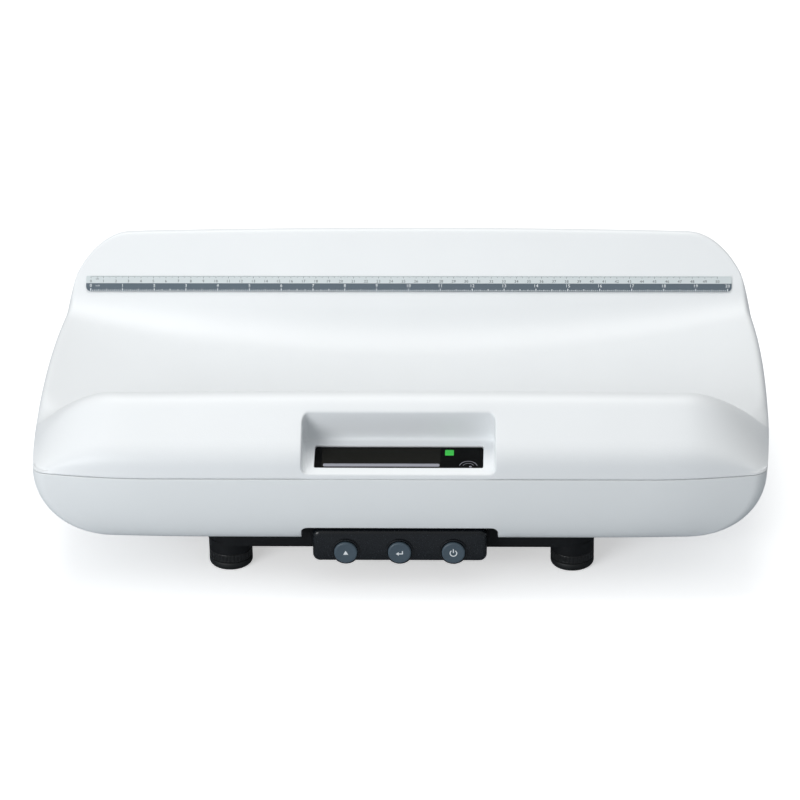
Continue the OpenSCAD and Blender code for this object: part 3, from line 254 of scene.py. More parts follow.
# %% Helpers for meshes
def piece(name, points, faces, material, body, slot, sharp=35.0, outward=False):
    """A mesh object from points in millimetres and a list of faces. Edges steeper than sharp stay crisp."""
    mesh = bpy.data.meshes.new(name)
    mesh.from_pydata((np.asarray(points, float) * MM).tolist(), [], [tuple(map(int, f)) for f in faces])
    mesh.materials.append(material)
    if outward:
        work = bmesh.new()
        work.from_mesh(mesh)
        bmesh.ops.remove_doubles(work, verts=work.verts, dist=0.002 * MM)
        bmesh.ops.recalc_face_normals(work, faces=work.faces)
        work.to_mesh(mesh)
        work.free()
    mesh.shade_smooth()
    mesh.set_sharp_from_angle(angle=math.radians(sharp))
    thing = bpy.data.objects.new(name, mesh)
    scene.collection.objects.link(thing)
    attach(thing, body)
    return thing


def grid_faces(rows, columns, closed=False, keep=None):
    """Quads between neighbours in a rows by columns grid of points. keep masks the quads that are wanted."""
    i, j = np.meshgrid(np.arange(rows - 1), np.arange(columns if closed else columns - 1), indexing="ij")
    if keep is not None:
        i, j = i[keep], j[keep]
    i, j = i.ravel(), j.ravel()
    k = (j + 1) % columns
    return np.stack([i * columns + j, i * columns + k, (i + 1) * columns + k, (i + 1) * columns + j], 1)


def closed_rings(rows):
    """Points and quads of rings of points, each joined to the next."""
    faces = grid_faces(*rows.shape[:2], closed=True)
    return rows.reshape(-1, 3), [tuple(f) for f in faces]


def in_use(points, quads):
    """The points that the quads use, and the quads with their new numbers."""
    used = np.unique(quads)
    renumber = np.zeros(len(points), int)
    renumber[used] = np.arange(len(used))
    return points[used], renumber[quads]


def smooth_step(u):
    """3 u^2 - 2 u^3, from 0 to 1 with level ends."""
    u = np.clip(u, 0, 1)
    return u * u * (3 - 2 * u)


def quarter(x, width, end, power=0.5):
    """1 up to width before the end, then (1 - u^2)^power down to 0: a quarter ellipse for a power of 0.5."""
    u = np.clip((np.abs(x) - (end - width)) / width, 0, 1)
    return (1 - u * u) ** power


def give_wall(thing, wall_mm):
    """Gives a sheet its wall thickness, inwards."""
    wall = thing.modifiers.new("wall", "SOLIDIFY")
    wall.thickness, wall.offset = wall_mm * MM, -1


def soften(thing, edge_mm):
    """Rounds the edges that are sharper than 60 degrees."""
    edge = thing.modifiers.new("edge", "BEVEL")
    edge.width, edge.segments = edge_mm * MM, 2
    edge.limit_method, edge.angle_limit = "ANGLE", math.radians(60)


# %% [markdown]
# ## The tray
# The tray is one thin moulding. Its section runs up the fascia, over a rounded crest, down into the trough,
# along the floor, up the back slope and over the rim. It is a chain of straight lines and arcs that changes
# along X, and the ends are pressed down to the seam by a quarter ellipse. The display's recess is part of the
# same sheet: the rows of the fascia stop at its opening, and rings of points lead down to the window.

# %% Sizes of the tray, in millimetres
TRAY_HALF = 279.45
Y_FRONT, Y_BACK = -159.0, 159.0
SEAM = 95.3
RIM, RIM_R, RIM_CORNER, RIM_END = 153.99, 5.0, 47.0, 106.0
CREST, CREST_Y, CREST_R, ARCH = 141.5, -99.7, 18.0, 3.5
END_DROP, DROP_POWER, EDGE, EDGE_BLEND = 64.0, 0.95, 6.0, 60.0
FLOOR, FLOOR_RISE = 82.0, 23.0
FLOOR_R, FLOOR_END_R, FRONT_R = 60.0, 36.0, 30.0
BEND_UP, BEND_IN, BEND_R = 18.0, 3.0, 40.0
CORNER_LONG, FRONT_POWER, CORNER_DEEP, CORNER_R = 90.0, 1.1, 9.5, 9.0
CORNER_BACK_W, CORNER_BACK = 38.0, 34.0
BOW, BOW_IN, BOW_POWER, BOW_FROM = 10.0, 24.0, 2.4, 80.0
BACK_SLOPE, FRONT_SLOPE, FASCIA_SLOPE = 48.0, 72.0, 34.0
HEM, TRAY_WALL = 0.7, 2.4


def above_arc(radius, a, b):
    """How far the corner of two slopes of a and b degrees lies above the arc of radius that rounds it."""
    half = math.radians((180 - a - b) / 2)
    return radius / math.sin(half) * math.cos(math.radians((b - a) / 2)) - radius


crest_top = CREST + above_arc(CREST_R, FASCIA_SLOPE, FRONT_SLOPE)
rim_top = RIM + above_arc(RIM_R, BACK_SLOPE, 90)
slope_rise = math.tan(math.radians(BACK_SLOPE))
slope_foot = Y_BACK - (rim_top - FLOOR) / slope_rise
full_end = TRAY_HALF - END_DROP
print("slope starts at y", round(slope_foot, 1), "mm; crest corner at z", round(crest_top, 1), "mm")


# %% The tray's section
def floor_height(x):
    """A parabola: FLOOR in the middle, FLOOR_RISE higher at the ends."""
    return FLOOR + FLOOR_RISE * (x / TRAY_HALF) ** 2


def front_back(x, end, deep, round_r):
    """How far the front is drawn back at x: a long shallow curve, then a small round at the end."""
    return deep * (1 - quarter(x, CORNER_LONG, end, FRONT_POWER)) + round_r * (1 - quarter(x, round_r, end))


def drawn_in(x, y):
    """The ends bow outwards: past BOW_FROM, x shrinks with the distance from the widest place, -BOW_IN."""
    share = np.clip((np.abs(x) - BOW_FROM) / (TRAY_HALF - BOW_FROM), 0, None)
    return x - np.sign(x) * BOW * (np.abs(y + BOW_IN) / Y_BACK) ** BOW_POWER * share


def section_corners(x):
    """The seven corners (y, z) of the section at every x, and the radius of each, as whole arrays."""
    floor_z, shift = floor_height(x), front_back(x, TRAY_HALF, CORNER_DEEP, CORNER_R)
    lower = ARCH * (x / TRAY_HALF) ** 2
    rim_z = RIM_END + (rim_top - lower - RIM_END) * quarter(x, RIM_CORNER, TRAY_HALF)
    crest_z = crest_top - lower
    level = np.full_like(x, SEAM)
    ys = [Y_FRONT + shift, Y_FRONT + shift + BEND_IN, CREST_Y + shift,
          CREST_Y + shift + (crest_z - floor_z) / math.tan(math.radians(FRONT_SLOPE)),
          slope_foot + (floor_z - FLOOR) / slope_rise, slope_foot + (rim_z - FLOOR) / slope_rise,
          Y_BACK - CORNER_BACK * (1 - quarter(x, CORNER_BACK_W, TRAY_HALF))]
    zs = [level, level + BEND_UP, crest_z, floor_z, floor_z, rim_z, level]
    floor_r = FLOOR_R + (FLOOR_END_R - FLOOR_R) * (x / TRAY_HALF) ** 2
    radii = [0, BEND_R, CREST_R, FRONT_R, floor_r, RIM_R, 0]
    return (np.stack([np.stack(ys, 1), np.stack(zs, 1)], 2),
            np.stack([np.broadcast_to(r, x.shape) for r in radii], 1))


def bend(a, b, c, radius, t):
    """Points of the arc that rounds corner b between a and c, at shares t of its sweep, for many corners."""
    u = (a - b) / np.linalg.norm(a - b, axis=1, keepdims=True)
    v = (c - b) / np.linalg.norm(c - b, axis=1, keepdims=True)
    half = np.arccos(np.clip((u * v).sum(1), -1, 1)) / 2
    room = np.minimum(np.linalg.norm(a - b, axis=1), np.linalg.norm(c - b, axis=1))
    reach = np.minimum(radius / np.tan(half), 0.48 * room)
    radius = reach * np.tan(half)
    middle = (u + v) / np.linalg.norm(u + v, axis=1, keepdims=True)
    centre = b + middle * (radius / np.sin(half))[:, None]
    start = b + u * reach[:, None] - centre
    turn = np.where(u[:, 0] * v[:, 1] - u[:, 1] * v[:, 0] > 0, -1, 1) * (np.pi - 2 * half)
    angle = np.arctan2(start[:, 1], start[:, 0])[:, None] + turn[:, None] * t[None, :]
    return centre[:, None, :] + radius[:, None, None] * np.stack([np.cos(angle), np.sin(angle)], 2)


def between(a, b, count):
    """count points on the line from a to b, without its ends, for many lines."""
    return np.linspace(a, b, count + 2, axis=1)[:, 1:-1]


def front_of(x, z):
    """y of the fascia at every x and the heights z there (a row for each x), read off its bend and slope."""
    corners, radii = section_corners(x)
    arc = bend(corners[:, 0], corners[:, 1], corners[:, 2], radii[:, 1], np.linspace(0, 1, 25))
    lines = np.concatenate([corners[:, :1], arc, corners[:, 2:3]], 1)
    return np.stack([np.interp(heights, line[:, 1], line[:, 0]) for heights, line in zip(z, lines)])


# %% [markdown]
# ### The outline of the recess
# The opening, the foot of the recess and the window's frame are all rounded rectangles. If each is sampled
# in the same way, point k of one belongs to point k of the next, and the wall between them is a plain grid.
# Flat shapes on a sloping face are drawn in the face's own frame: x to the right, v up the face, n out of it.

# %% Rounded rectangles and the frames of the faces
ALONG, ROUND, ASIDE = 26, 6, 9
RECESS_HALF, RECESS_HIGH, RECESS_BACK, RECESS_R = 72.2, 134.0, -117.0, 5.0
RECESS_FLOOR, DISPLAY_TILT, LIP = 106.5, math.radians(10.5), 1.3
WINDOW_HALF, WINDOW_BACK, WINDOW_LONG, WINDOW_SUNK, WINDOW_GAP = 62.5, 7.8, 25.4, 1.2, 0.65


def corner(x, v, r, first, turn=ROUND):
    """Points of a quarter circle round x, v from the angle first, in degrees."""
    a = np.radians(np.linspace(first, first + 90, turn + 1))
    return np.stack([x + r * np.cos(a), v + r * np.sin(a)], 1)


def run(a, b, count):
    """Points that part the line from a to b into count equal lengths, without its ends."""
    return np.linspace(a, b, count + 1)[1:-1]


def rounded_outline(half, low, high, r):
    """A closed rounded rectangle, from its left side along the bottom, up the right side and back."""
    x, low_c, high_c = half - r, low + r, high - r
    return np.vstack([corner(-x, low_c, r, 180), run((-x, low), (x, low), ALONG),
                      corner(x, low_c, r, 270), run((half, low_c), (half, high_c), ASIDE),
                      corner(x, high_c, r, 0), run((x, high), (-x, high), ALONG),
                      corner(-x, high_c, r, 90), run((-half, high_c), (-half, low_c), ASIDE)])


slope_turn = math.radians(BACK_SLOPE)
FACE = {
    "slope": ((0, slope_foot, FLOOR), (0, math.cos(slope_turn), math.sin(slope_turn))),
    "display": ((0, RECESS_BACK, RECESS_FLOOR), (0, math.cos(DISPLAY_TILT), math.sin(DISPLAY_TILT))),
    "front": ((0, 0, 0), (0, 0, 1)),
}


def on_face(face, flat, n):
    """World points for points (x, v) of a face's frame at height n above it."""
    origin, up_face = np.array(FACE[face], float)
    return origin + flat[:, :1] * (1, 0, 0) + flat[:, 1:] * up_face + n * np.cross((1, 0, 0), up_face)


heights = np.linspace(SEAM, RECESS_FLOOR, 60)
fascia_y = front_of(np.zeros(1), heights[None])[0]
floor_there = RECESS_FLOOR + (fascia_y - RECESS_BACK) * math.tan(DISPLAY_TILT)
recess_low = float(heights[np.argmin(np.abs(floor_there - heights))])
opening = rounded_outline(RECESS_HALF + LIP, recess_low - LIP, RECESS_HIGH + LIP, RECESS_R + LIP)
print("the recess opens from z", round(recess_low, 1), "to", RECESS_HIGH, "mm")

# %% The tray's grid of points
FRONT_ROWS, LIP_ROWS = 4, 4
SIDE_COLUMNS, END_COLUMNS = 22, 26
CREST_ROWS, FOOT_ROWS, FLOOR_ROWS, RIM_ROWS = 12, 12, 16, 10
DOWN_ROWS, MIDDLE_ROWS, UP_ROWS, BACK_ROWS = 12, 12, 22, 16
bottom_count = 2 * ROUND + ALONG + 1
middle_x = opening[:bottom_count, 0]
middle_low = opening[:bottom_count, 1]
middle_high = opening[bottom_count + ASIDE - 1:][:bottom_count, 1][::-1]
end_x = full_end + END_DROP * np.sin(np.linspace(0, np.pi / 2, END_COLUMNS + 1)[1:])
side_x = np.concatenate([np.linspace(RECESS_HALF + LIP, full_end, SIDE_COLUMNS + 1)[1:], end_x])
columns_x = np.concatenate([-side_x[::-1], middle_x, side_x])
first_column, last_column = len(side_x), len(side_x) + bottom_count - 1
low_z, high_z = (np.pad(middle, len(side_x), "edge") for middle in (middle_low, middle_high))

corners, radii = section_corners(columns_x)
crest, foot_arc, floor_arc, rim = (
    bend(corners[:, j - 1], corners[:, j], corners[:, j + 1], radii[:, j], np.linspace(0, 1, n + 1))
    for j, n in ((2, CREST_ROWS), (3, FOOT_ROWS), (4, FLOOR_ROWS), (5, RIM_ROWS)))
rise = np.concatenate([np.linspace(np.full_like(low_z, SEAM), low_z, FRONT_ROWS + 1),
                       np.linspace(low_z, high_z, ASIDE + 1)[1:],
                       np.linspace(high_z, crest[:, 0, 1], LIP_ROWS + 1)[1:-1]])
front = np.stack([front_of(columns_x, rise.T), rise.T], 2)
hem = np.array([[HEM, 0.0], [0.15 * HEM, 0.3 * HEM]])
rear = corners[:, 6:7]
path = np.concatenate([front[:, :1] + hem, front[:, :1] + [0, HEM], front[:, 1:],
                       crest, between(crest[:, -1], foot_arc[:, 0], DOWN_ROWS),
                       foot_arc, between(foot_arc[:, -1], floor_arc[:, 0], MIDDLE_ROWS),
                       floor_arc, between(floor_arc[:, -1], rim[:, 0], UP_ROWS),
                       rim, between(rim[:, -1], rear[:, 0], BACK_ROWS),
                       rear + [0, HEM], rear + (hem * [-1, 1])[::-1]], 1)


def pressed(x, y, z):
    """The ends fall to the seam, over a long way at the crest and a short one along the trough, and bow."""
    share = smooth_step((y - CREST_Y) / EDGE_BLEND)
    width, power = END_DROP + (EDGE - END_DROP) * share, DROP_POWER + (0.5 - DROP_POWER) * share
    return np.stack([drawn_in(x, y), y, SEAM + (z - SEAM) * quarter(x, width, TRAY_HALF, power)], -1)


tray_grid = pressed(np.broadcast_to(columns_x[:, None], path.shape[:2]), path[..., 0], path[..., 1])
tray_grid = tray_grid.transpose(1, 0, 2)
tray_rows, tray_columns = tray_grid.shape[:2]
print("tray grid:", tray_rows, "by", tray_columns)

# %% [markdown]
# ### The recess
# Its rings run from the opening over a small lip, down the walls, round the foot and along the floor to the
# window's frame. A corner P between two lines is rounded by a quadratic curve that is tangent to both,
# (1 - t)^2 A + 2 t (1 - t) P + t^2 B.

# %% Rings of the recess
FOOT_IN, FOOT_BACK, FOOT_FRONT, FOOT_CORNER, FOOT_REACH = 0.6, 0.3, 3.2, 4.5, 3.0
FRAME_CORNER, FRAME_REACH, FRAME_DEEP = 1.6, 0.5, 1.4


def on_front(outline):
    """The points (x, z) of an outline laid on the fascia."""
    return np.stack([outline[:, 0], front_of(outline[:, 0], outline[:, 1:])[:, 0], outline[:, 1]], 1)


def toward(a, b, reach):
    """The point that lies reach from a towards b, at most 0.45 of the way."""
    gap = np.linalg.norm(b - a, axis=1, keepdims=True)
    return a + (b - a) * np.minimum(reach / gap, 0.45)


def quick_bend(a, p, b, steps):
    """Rings of the quadratic curve from a over corner p to b, with both ends."""
    t = np.linspace(0, 1, steps + 1)[:, None, None]
    return (1 - t) ** 2 * a + 2 * t * (1 - t) * p + t * t * b


lip_ring = on_front(rounded_outline(RECESS_HALF, recess_low, RECESS_HIGH, RECESS_R))
foot_low = (lip_ring[:, 1].min() - RECESS_BACK + FOOT_FRONT) / math.cos(DISPLAY_TILT)
foot_ring = on_face("display", rounded_outline(RECESS_HALF - FOOT_IN, foot_low, -FOOT_BACK, FOOT_CORNER), 0)
frame_line = rounded_outline(WINDOW_HALF + WINDOW_GAP, -WINDOW_BACK - WINDOW_LONG - WINDOW_GAP,
                             -WINDOW_BACK + WINDOW_GAP, FRAME_CORNER)
frame_ring = on_face("display", frame_line, 0)
frame_foot = on_face("display", frame_line, -WINDOW_SUNK - FRAME_DEEP)
lip_round = quick_bend(on_front(opening), lip_ring, toward(lip_ring, foot_ring, LIP), 5)[1:]
foot_round = quick_bend(toward(foot_ring, lip_ring, FOOT_REACH), foot_ring,
                        toward(foot_ring, frame_ring, FOOT_REACH), 6)
frame_round = quick_bend(toward(frame_ring, foot_ring, FRAME_REACH), frame_ring,
                         toward(frame_ring, frame_foot, FRAME_REACH), 3)
wall_lines = np.linspace(lip_round[-1], foot_round[0], 5)[1:-1]
rings = np.concatenate([lip_round, wall_lines, foot_round, frame_round, frame_foot[None]])
ring_size = len(opening)
r0 = FRONT_ROWS + len(hem)
r1 = r0 + ASIDE
ring_start = np.concatenate([
    r0 * tray_columns + np.arange(first_column, last_column + 1),
    np.arange(r0 + 1, r1) * tray_columns + last_column,
    r1 * tray_columns + np.arange(last_column, first_column - 1, -1),
    np.arange(r1 - 1, r0, -1) * tray_columns + first_column])
new_index = tray_rows * tray_columns + np.arange(len(rings) * ring_size).reshape(-1, ring_size)
ring_index = np.concatenate([ring_start[None], new_index])
after = np.roll(ring_index, -1, axis=1)
ring_quads = np.stack([ring_index[:-1], ring_index[1:], after[1:], after[:-1]], 2).reshape(-1, 4)

row_i, column_i = np.meshgrid(np.arange(tray_rows - 1), np.arange(tray_columns - 1), indexing="ij")
outside = ~((row_i >= r0) & (row_i < r1) & (column_i >= first_column) & (column_i < last_column))
tray_quads = np.vstack([grid_faces(tray_rows, tray_columns, keep=outside), ring_quads[:, ::-1]])
tray_points = np.vstack([tray_grid.reshape(-1, 3), rings.reshape(-1, 3)])
tray = piece("tray", *in_use(tray_points, tray_quads), grained_white, "platform", "white_shell", 50)
give_wall(tray, TRAY_WALL)
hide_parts("weighing_tray")
print("tray points:", len(tray.data.vertices))

# %% [markdown]
# ## The lower shell
# Below the seam a second moulding curves in under the tray. It is a closed loop of points that goes round the
# object, carried down a quarter ellipse. In front of the panel it stops early, which makes the notch: those
# columns spend their first rows on the way to the notch's edge, and the quads below are left out.

# %% Rows and columns of the lower shell
SHELL_BOTTOM, SHELL_BAND, SHELL_IN = 36.5, 2.0, (55.0, 19.0, 24.0)
STRAIGHTER, ROUNDER, ROUNDER_BACK_W, ROUNDER_BACK = 8.5, 4.0, 20.0, 10.0
NOTCH_HALF, NOTCH_TOP, NOTCH_R = 74.0, 49.8, 5.0
OPEN_HALF, OPEN_FRONT, OPEN_BACK, OPEN_R = 154.5, -135.0, 117.0, 20.0
GROOVE, GROOVE_HIGH = 1.8, 0.7
SHELL_WALL, SHELL_EDGE, STRAIGHT_TO = 2.6, 0.5, 100.0
curve_top = SEAM - SHELL_BAND
curve_high = curve_top - SHELL_BOTTOM

NOTCH_COLUMNS, BEND_COLUMNS, NEAR_COLUMNS, FAR_COLUMNS, LOOP_SIDE = 12, 6, 4, 15, 23
notch_end = NOTCH_HALF - NOTCH_R
half_x = np.concatenate([np.linspace(0, notch_end, NOTCH_COLUMNS + 1)[:-1],
                         notch_end + NOTCH_R * np.sin(np.linspace(0, np.pi / 2, BEND_COLUMNS + 1)),
                         np.linspace(NOTCH_HALF, STRAIGHT_TO, NEAR_COLUMNS + 1)[1:],
                         np.linspace(STRAIGHT_TO, full_end, FAR_COLUMNS + 1)[1:], end_x])
front_x = np.concatenate([-half_x[:0:-1], half_x])
side_share = np.arange(1, LOOP_SIDE + 1) / (LOOP_SIDE + 1)
side = np.repeat([0, 1, 2, 3], [len(front_x), LOOP_SIDE] * 2)
loop_x = np.concatenate([front_x, np.full(LOOP_SIDE, TRAY_HALF),
                         front_x[::-1], np.full(LOOP_SIDE, -TRAY_HALF)])
loop_share = np.concatenate([0 * front_x, side_share, 0 * front_x, side_share[::-1]])
in_notch = (side == 0) & (np.abs(loop_x) <= NOTCH_HALF + 1e-6)
rounding = np.clip(np.abs(loop_x) - notch_end, 0, NOTCH_R)
notch_z = NOTCH_TOP - NOTCH_R + np.where(in_notch, np.sqrt(NOTCH_R ** 2 - rounding ** 2), 0)
notch_turn = np.arcsin(np.clip((curve_top - notch_z) / curve_high, 0, 1))


def spread(half):
    """The loop's x with its ends at half: what lies past STRAIGHT_TO is scaled."""
    beyond = np.clip(np.abs(loop_x) - STRAIGHT_TO, 0, None) * (half - STRAIGHT_TO) / (TRAY_HALF - STRAIGHT_TO)
    return np.sign(loop_x) * (np.minimum(np.abs(loop_x), STRAIGHT_TO) + beyond)


def round_loop(front_y, back_y, start, end):
    """y of the loop: front_y and back_y on its long sides, and from start to end along its ends."""
    return np.where(side == 0, front_y, np.where(side == 2, back_y, start + (end - start) * loop_share))


def loop_at(inset, shrink, z):
    """The loop drawn in by inset at its ends, front and back; shrink from 0 to 1 rounds its corners."""
    half, y0, y1 = TRAY_HALF - inset[0], Y_FRONT + inset[1], Y_BACK - inset[2]
    deep, round_r = CORNER_DEEP - STRAIGHTER * shrink, CORNER_R + ROUNDER * shrink
    back_width, back_deep = CORNER_BACK_W + ROUNDER_BACK_W * shrink, CORNER_BACK + ROUNDER_BACK * shrink
    x = spread(half)
    y = round_loop(y0 + front_back(x, half, deep, round_r),
                   y1 - back_deep * (1 - quarter(x, back_width, half)), y0 + deep + round_r, y1 - back_deep)
    return np.stack([drawn_in(x, y), y, np.broadcast_to(z, x.shape)], -1)


# %% The lower shell's sheet
def groove_row(inset, down):
    """A row of the groove, drawn in by inset, down below the seam."""
    return loop_at((inset, inset, inset), inset / SHELL_IN[0], SEAM - down)


def wall_row(angle):
    """A row of the curved wall, at angle (one value or one for each column) round the quarter ellipse."""
    s = 1 - np.cos(angle)
    return loop_at(tuple(side_in * s for side_in in SHELL_IN), s, curve_top - curve_high * np.sin(angle))


grooves = [groove_row(GROOVE, 0)] + [groove_row(share * GROOVE, GROOVE_HIGH + down)
                                     for share, down in ((1, 0), (0.25, 0.05), (0.05, 0.25), (0, 0.6))]
upper = [wall_row(notch_turn * t) for t in np.linspace(0, 1, 21)]
lower = [wall_row(notch_turn + (np.pi / 2 - notch_turn) * t) for t in np.linspace(0, 1, 13)[1:]]
open_x = spread(OPEN_HALF)
open_curve = OPEN_R * (1 - quarter(open_x, OPEN_R, OPEN_HALF))
open_y = round_loop(OPEN_FRONT + open_curve, OPEN_BACK - open_curve, OPEN_FRONT + OPEN_R, OPEN_BACK - OPEN_R)
open_edge = np.stack([open_x, open_y, np.full_like(open_x, SHELL_BOTTOM)], 1)
flange = np.linspace(lower[-1], open_edge, 6)[1:]
shell_grid = np.array(grooves + upper + lower + list(flange))
shell_rows, shell_columns = shell_grid.shape[:2]
row_i, column_i = np.meshgrid(np.arange(shell_rows - 1), np.arange(shell_columns), indexing="ij")
next_in = in_notch & np.roll(in_notch, -1)
shell_keep = ~((row_i >= len(grooves) + len(upper) - 1) & next_in[column_i])
shell_quads = grid_faces(shell_rows, shell_columns, closed=True, keep=shell_keep)[:, ::-1]
lower_shell = piece("lower_moulding", *in_use(shell_grid.reshape(-1, 3), shell_quads), smooth_white,
                    "platform", "white_shell", 50)
give_wall(lower_shell, SHELL_WALL)
soften(lower_shell, SHELL_EDGE)
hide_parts("lower_shell")
print("lower shell grid:", shell_rows, "by", shell_columns)

# %% [markdown]
# ## Flat printed shapes
# The measuring strip, the window and all printing are thin flat shapes in the frame of a face. One helper
# gives such a shape its thickness: it copies the faces to both heights and adds a wall on every edge that
# belongs to one face only.


# %% Thin shapes
def thick(face, flat, faces, low, high):
    """A flat shape made thick: faces at both heights, and walls on the edges that only one face has."""
    edges = np.array([(f[i], f[(i + 1) % len(f)]) for f in faces for i in range(len(f))])
    there = {tuple(e) for e in edges.tolist()}
    rim = [e for e in edges.tolist() if (e[1], e[0]) not in there]
    count = len(flat)
    points = np.vstack([on_face(face, flat, low), on_face(face, flat, high)])
    walls = [(a, b, b + count, a + count) for a, b in rim]
    return points, [tuple(i + count for i in f) for f in faces] + [tuple(f[::-1]) for f in faces] + walls


def joined(shapes):
    """One shape from several pairs of points and faces."""
    starts = np.cumsum([0] + [len(points) for points, _ in shapes])
    faces = [tuple(int(i) + int(start) for i in f) for (_, part), start in zip(shapes, starts) for f in part]
    return np.vstack([points for points, _ in shapes]), faces


def bars(x, width, low, high):
    """Rectangles centred on every x, from low to high; width, low and high are single or one for each x."""
    x, width, low, high = np.broadcast_arrays(np.asarray(x, float), width, low, high)
    left, right_side = x - width / 2, x + width / 2
    points = np.stack([left, low, right_side, low, right_side, high, left, high], 1).reshape(-1, 2)
    return points, [tuple(range(i, i + 4)) for i in range(0, len(points), 4)]


def round_rectangle(x0, x1, v0, v1, radii, turn=ROUND):
    """A rectangle with one corner radius, or four: low left, low right, high right, high left."""
    a, b, c, d = np.broadcast_to(radii, 4)
    points = np.vstack([corner(x0 + a, v0 + a, a, 180, turn), corner(x1 - b, v0 + b, b, 270, turn),
                        corner(x1 - c, v1 - c, c, 0, turn), corner(x0 + d, v1 - d, d, 90, turn)])
    return points, [tuple(range(len(points)))]


def band_of(radius, width, first, last, steps=40, middle=(0, 0)):
    """A band round an arc: radius and width of the arc, its first and last angle in degrees."""
    a = np.radians(np.linspace(first, last, steps + 1))[:, None]
    r = np.array([radius - width / 2, radius + width / 2])
    points = np.stack([middle[0] + r * np.cos(a), middle[1] + r * np.sin(a)], 2).reshape(-1, 2)
    return points, [tuple(f) for f in grid_faces(steps + 1, 2)[:, ::-1].tolist()]


def letters(text):
    """The filled outlines of a text in Blender's own typeface, centred, at the typeface's own size."""
    curve = bpy.data.curves.new("print", "FONT")
    curve.body, curve.align_x, curve.resolution_u = text, "CENTER", 3
    thing = bpy.data.objects.new("print", curve)
    scene.collection.objects.link(thing)
    mesh = thing.evaluated_get(bpy.context.evaluated_depsgraph_get()).to_mesh()
    points = np.empty(3 * len(mesh.vertices))
    mesh.vertices.foreach_get("co", points)
    faces = [tuple(p.vertices) for p in mesh.polygons]
    bpy.data.objects.remove(thing)
    bpy.data.curves.remove(curve)
    return points.reshape(-1, 3)[:, :2], faces


digit = {d: letters(d) for d in "0123456789"}
zero_high = np.ptp(digit["0"][0][:, 1])
DIGIT_STEP = 0.78


def placed(shape, x, base, high):
    """A letter or word centred on x and standing on base, in the size that makes a 0 high tall."""
    return shape[0] * high / zero_high + (x, base), shape[1]


def number(value, x, base, high):
    """The digits of a whole number, centred on x, standing on base and high tall."""
    text = str(value)
    starts = (np.arange(len(text)) - (len(text) - 1) / 2) * DIGIT_STEP * high + x
    return joined([placed(digit[d], start, base, high) for d, start in zip(text, starts)])


print("typeface: a zero is", round(float(zero_high), 3), "high")

# %% [markdown]
# ## The measuring strip
# A printed strip is bonded to the back slope: centimetres on the pale upper half, inches on the slate lower
# half. As on any ruler, the rounder the number, the longer its tick. Plain numbers are generic, so they are
# drawn.

# %% The measuring strip
STRIP_HALF, STRIP_UP, BAND_W, STRIP_W = 257.5, 45.0, 6.6, 12.7
STRIP_LOW, STRIP_TOP, INK = 0.1, 0.9, 0.04
SQUARE, CM_R, INCH_R = 0.05, 1.0, 4.0
ZERO_X, CM, INCH, MIDDLE = -253.7, 10.0, 25.4, STRIP_UP + BAND_W


def strip_print(name, ticks, unit, unit_at, pitch, count, base, high, ink, slot):
    """Ticks, the unit's name by the zero (its x from there, base and height) and a number at each unit."""
    unit_x, unit_base, unit_high = unit_at
    sign = placed(letters(unit), ZERO_X + unit_x, unit_base, unit_high)
    numbers = [number(k, ZERO_X + pitch * k, base, high) for k in range(count + 1)]
    shape = joined([ticks, sign] + numbers)
    piece(name, *thick("slope", *shape, STRIP_TOP, STRIP_TOP + INK), ink, "platform", slot)


cm_shape = round_rectangle(-STRIP_HALF, STRIP_HALF, MIDDLE, STRIP_UP + STRIP_W, (SQUARE, SQUARE, CM_R, CM_R))
cm_band = piece("strip_cm_band", *thick("slope", *cm_shape, STRIP_LOW, STRIP_TOP), strip_light, "platform",
                "strip_light")
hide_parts("measuring_strip")
inch_shape = round_rectangle(-STRIP_HALF, STRIP_HALF, STRIP_UP, MIDDLE, (INCH_R, INCH_R, SQUARE, SQUARE))
inch_band = piece("strip_inch_plate", *thick("slope", *inch_shape, STRIP_LOW, STRIP_TOP), strip_dark,
                  "platform", "strip_dark")
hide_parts("strip_inch_band")

millimetre = np.arange(501)
cm_tick = np.where(millimetre % 10 == 0, 1.7, np.where(millimetre % 5 == 0, 1.2, 0.6))
cm_top = STRIP_UP + STRIP_W - 0.25
cm_ticks = bars(ZERO_X + millimetre, 0.3, cm_top - cm_tick, cm_top)
strip_print("strip_cm_print", cm_ticks, "cm", (5, MIDDLE + 3.0, 1.5), CM, 50, MIDDLE + 0.7, 2.2, ink_dark,
            "strip_dark")

sixteenth = np.arange(20 * 16 + 1)
inch_tick = np.select([sixteenth % 16 == 0, sixteenth % 8 == 0, sixteenth % 4 == 0, sixteenth % 2 == 0],
                      [2.1, 1.7, 1.3, 1.1], 0.9)
inch_wide = np.where(sixteenth % 4 == 0, 0.65, 0.5)
inch_low = STRIP_UP + 0.15
inch_ticks = bars(ZERO_X + sixteenth * INCH / 16, inch_wide, inch_low, inch_low + inch_tick)
strip_print("strip_inch_print", inch_ticks, "inch", (5.5, MIDDLE - 2.6, 1.4), INCH, 20, MIDDLE - 3.1, 2.5,
            ink_white, "strip_light")
print("strip: 50 cm end at x", ZERO_X + 50 * CM, "mm, 20 inch end at x", ZERO_X + 20 * INCH, "mm")

# %% [markdown]
# ## The display
# A tinted acrylic window lies in the floor of the recess. The liquid crystal field under it is a shade
# lighter than the window, with a pale bar along its lower edge, and a round spirit level looks out from the
# window's lower right corner. A small green square is printed beside the field.

# %% The display
window_low = -WINDOW_BACK - WINDOW_LONG
window_shape = round_rectangle(-WINDOW_HALF, WINDOW_HALF, window_low, -WINDOW_BACK, 1.4)
window = piece("window_pane", *thick("display", *window_shape, -WINDOW_SUNK - 1.8, -WINDOW_SUNK),
               window_black, "base", "window")
soften(window, 0.25)
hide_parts("display_window")

